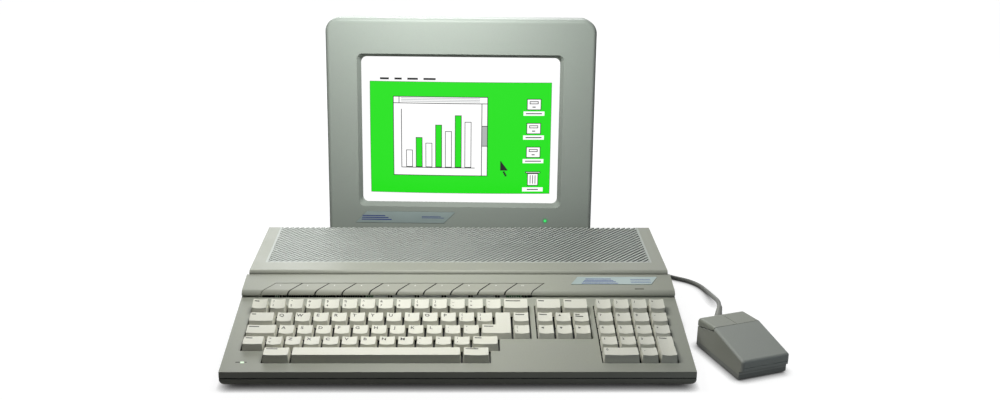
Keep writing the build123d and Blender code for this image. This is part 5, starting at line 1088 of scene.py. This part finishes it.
cord_radius = 0.0024
to_coil = [
    (0.2899, 0.1438, 0.0225), (0.2935, 0.1612, 0.0195), (0.2958, 0.1792, 0.0145), (0.2972, 0.1972, 0.0090),
    (0.2973, 0.2142, 0.0050), (0.2955, 0.2302, 0.0026), (0.2905, 0.2472, 0.0025), (0.2800, 0.2602, 0.0025),
    (0.2670, 0.2677, 0.0025), (0.2550, 0.2762, 0.0025), (0.2470, 0.2882, 0.0025), (0.2410, 0.3032, 0.0025),
    (0.2380, 0.3120, 0.0025), (0.2362, 0.3202, 0.0025),
]
to_port = [
    (0.1859, 0.3037, 0.0063), (0.1920, 0.2959, 0.0042), (0.2015, 0.2900, 0.0029), (0.2140, 0.2872, 0.0025),
    (0.2280, 0.2866, 0.0025), (0.2406, 0.2819, 0.0025), (0.2456, 0.2700, 0.0025), (0.2460, 0.2540, 0.0025),
    (0.2438, 0.2360, 0.0025), (0.2434, 0.2160, 0.0025), (0.2458, 0.1960, 0.0025), (0.2454, 0.1780, 0.0025),
    (0.2428, 0.1635, 0.0025), (0.2438, 0.1508, 0.0034), (0.2433, 0.1403, 0.0054), (0.2391, 0.1328, 0.0075),
    (0.2316, 0.1285, 0.0091), (0.2230, 0.1285, 0.0095),
]
coil_middle = Vector((0.2040, 0.3312))
outer_turn, middle_turn, inner_turn = 0.0313, 0.0265, 0.0217
lower_layer, upper_layer = 0.0025, 0.0073
points_per_turn = 16
coil_start_angle = math.radians(-18.9)


def eased(value, low, high):
    """A smooth share between two places of a turn."""
    share = min(max((value - low) / (high - low), 0.0), 1.0)
    return share * share * (3 - 2 * share)


# For each turn, the radius and the height before and after it changes, and where in the
# turn it does; a quadratic curve cuts its corners, so they stand a little further out
coil_turns = (
    (outer_turn, middle_turn, lower_layer, lower_layer, 0.75, 1.0),
    (middle_turn, inner_turn, lower_layer, lower_layer, 0.75, 1.0),
    (inner_turn, inner_turn, lower_layer, upper_layer, 0.5, 0.75),
    (inner_turn, middle_turn, upper_layer, upper_layer, 0.25, 0.5),
    (middle_turn, outer_turn, upper_layer, upper_layer, 0.25, 0.5),
    (outer_turn, outer_turn, upper_layer, upper_layer, 0.25, 0.5),
)
turn_count, corner_cut = 5.71, 0.981

coil = []
for step in range(1, round(turn_count * points_per_turn) + 1):
    turn = step / points_per_turn
    radius, next_radius, level, next_level, low, high = coil_turns[math.floor(turn)]
    share = eased(turn - math.floor(turn), low, high)
    radius = (radius + (next_radius - radius) * share) / corner_cut
    level += (next_level - level) * share
    angle = coil_start_angle + 2 * math.pi * turn
    coil.append((coil_middle.x + radius * math.cos(angle), coil_middle.y + radius * math.sin(angle), level))

cord_points = [unit_origin + Vector(point) for point in to_coil + coil + to_port]
cord_curve = bpy.data.curves.new("mouse cord", "CURVE")
cord_curve.dimensions = "3D"
cord_curve.bevel_depth = cord_radius
cord_curve.bevel_resolution = 5
cord_curve.resolution_u = 8
cord_curve.use_fill_caps = True
line = cord_curve.splines.new("NURBS")
line.points.add(len(cord_points) - 1)
for knot, point in zip(line.points, cord_points):
    knot.co = (*point, 1.0)
line.order_u = 3
line.use_endpoint_u = True
mouse_lead = bpy.data.objects.new("mouse_lead", cord_curve)
scene.collection.objects.link(mouse_lead)

cord_sheath = moulded_plastic("cord sheath", (0.215, 0.218, 0.20), 0.5, 0.09, 0.5, 0.00004)[0]
cord_curve.materials.append(cord_sheath)
boot_plastic = moulded_plastic("moulded boot", (0.27, 0.275, 0.25), 0.5, 0.08, 0.4)[0]
dress("cord_relief", boot_plastic)
dress("mouse_plug", boot_plastic)
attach(mouse_lead, "set")
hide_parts("mouse_cord", "cord_coil", "cord_lead")
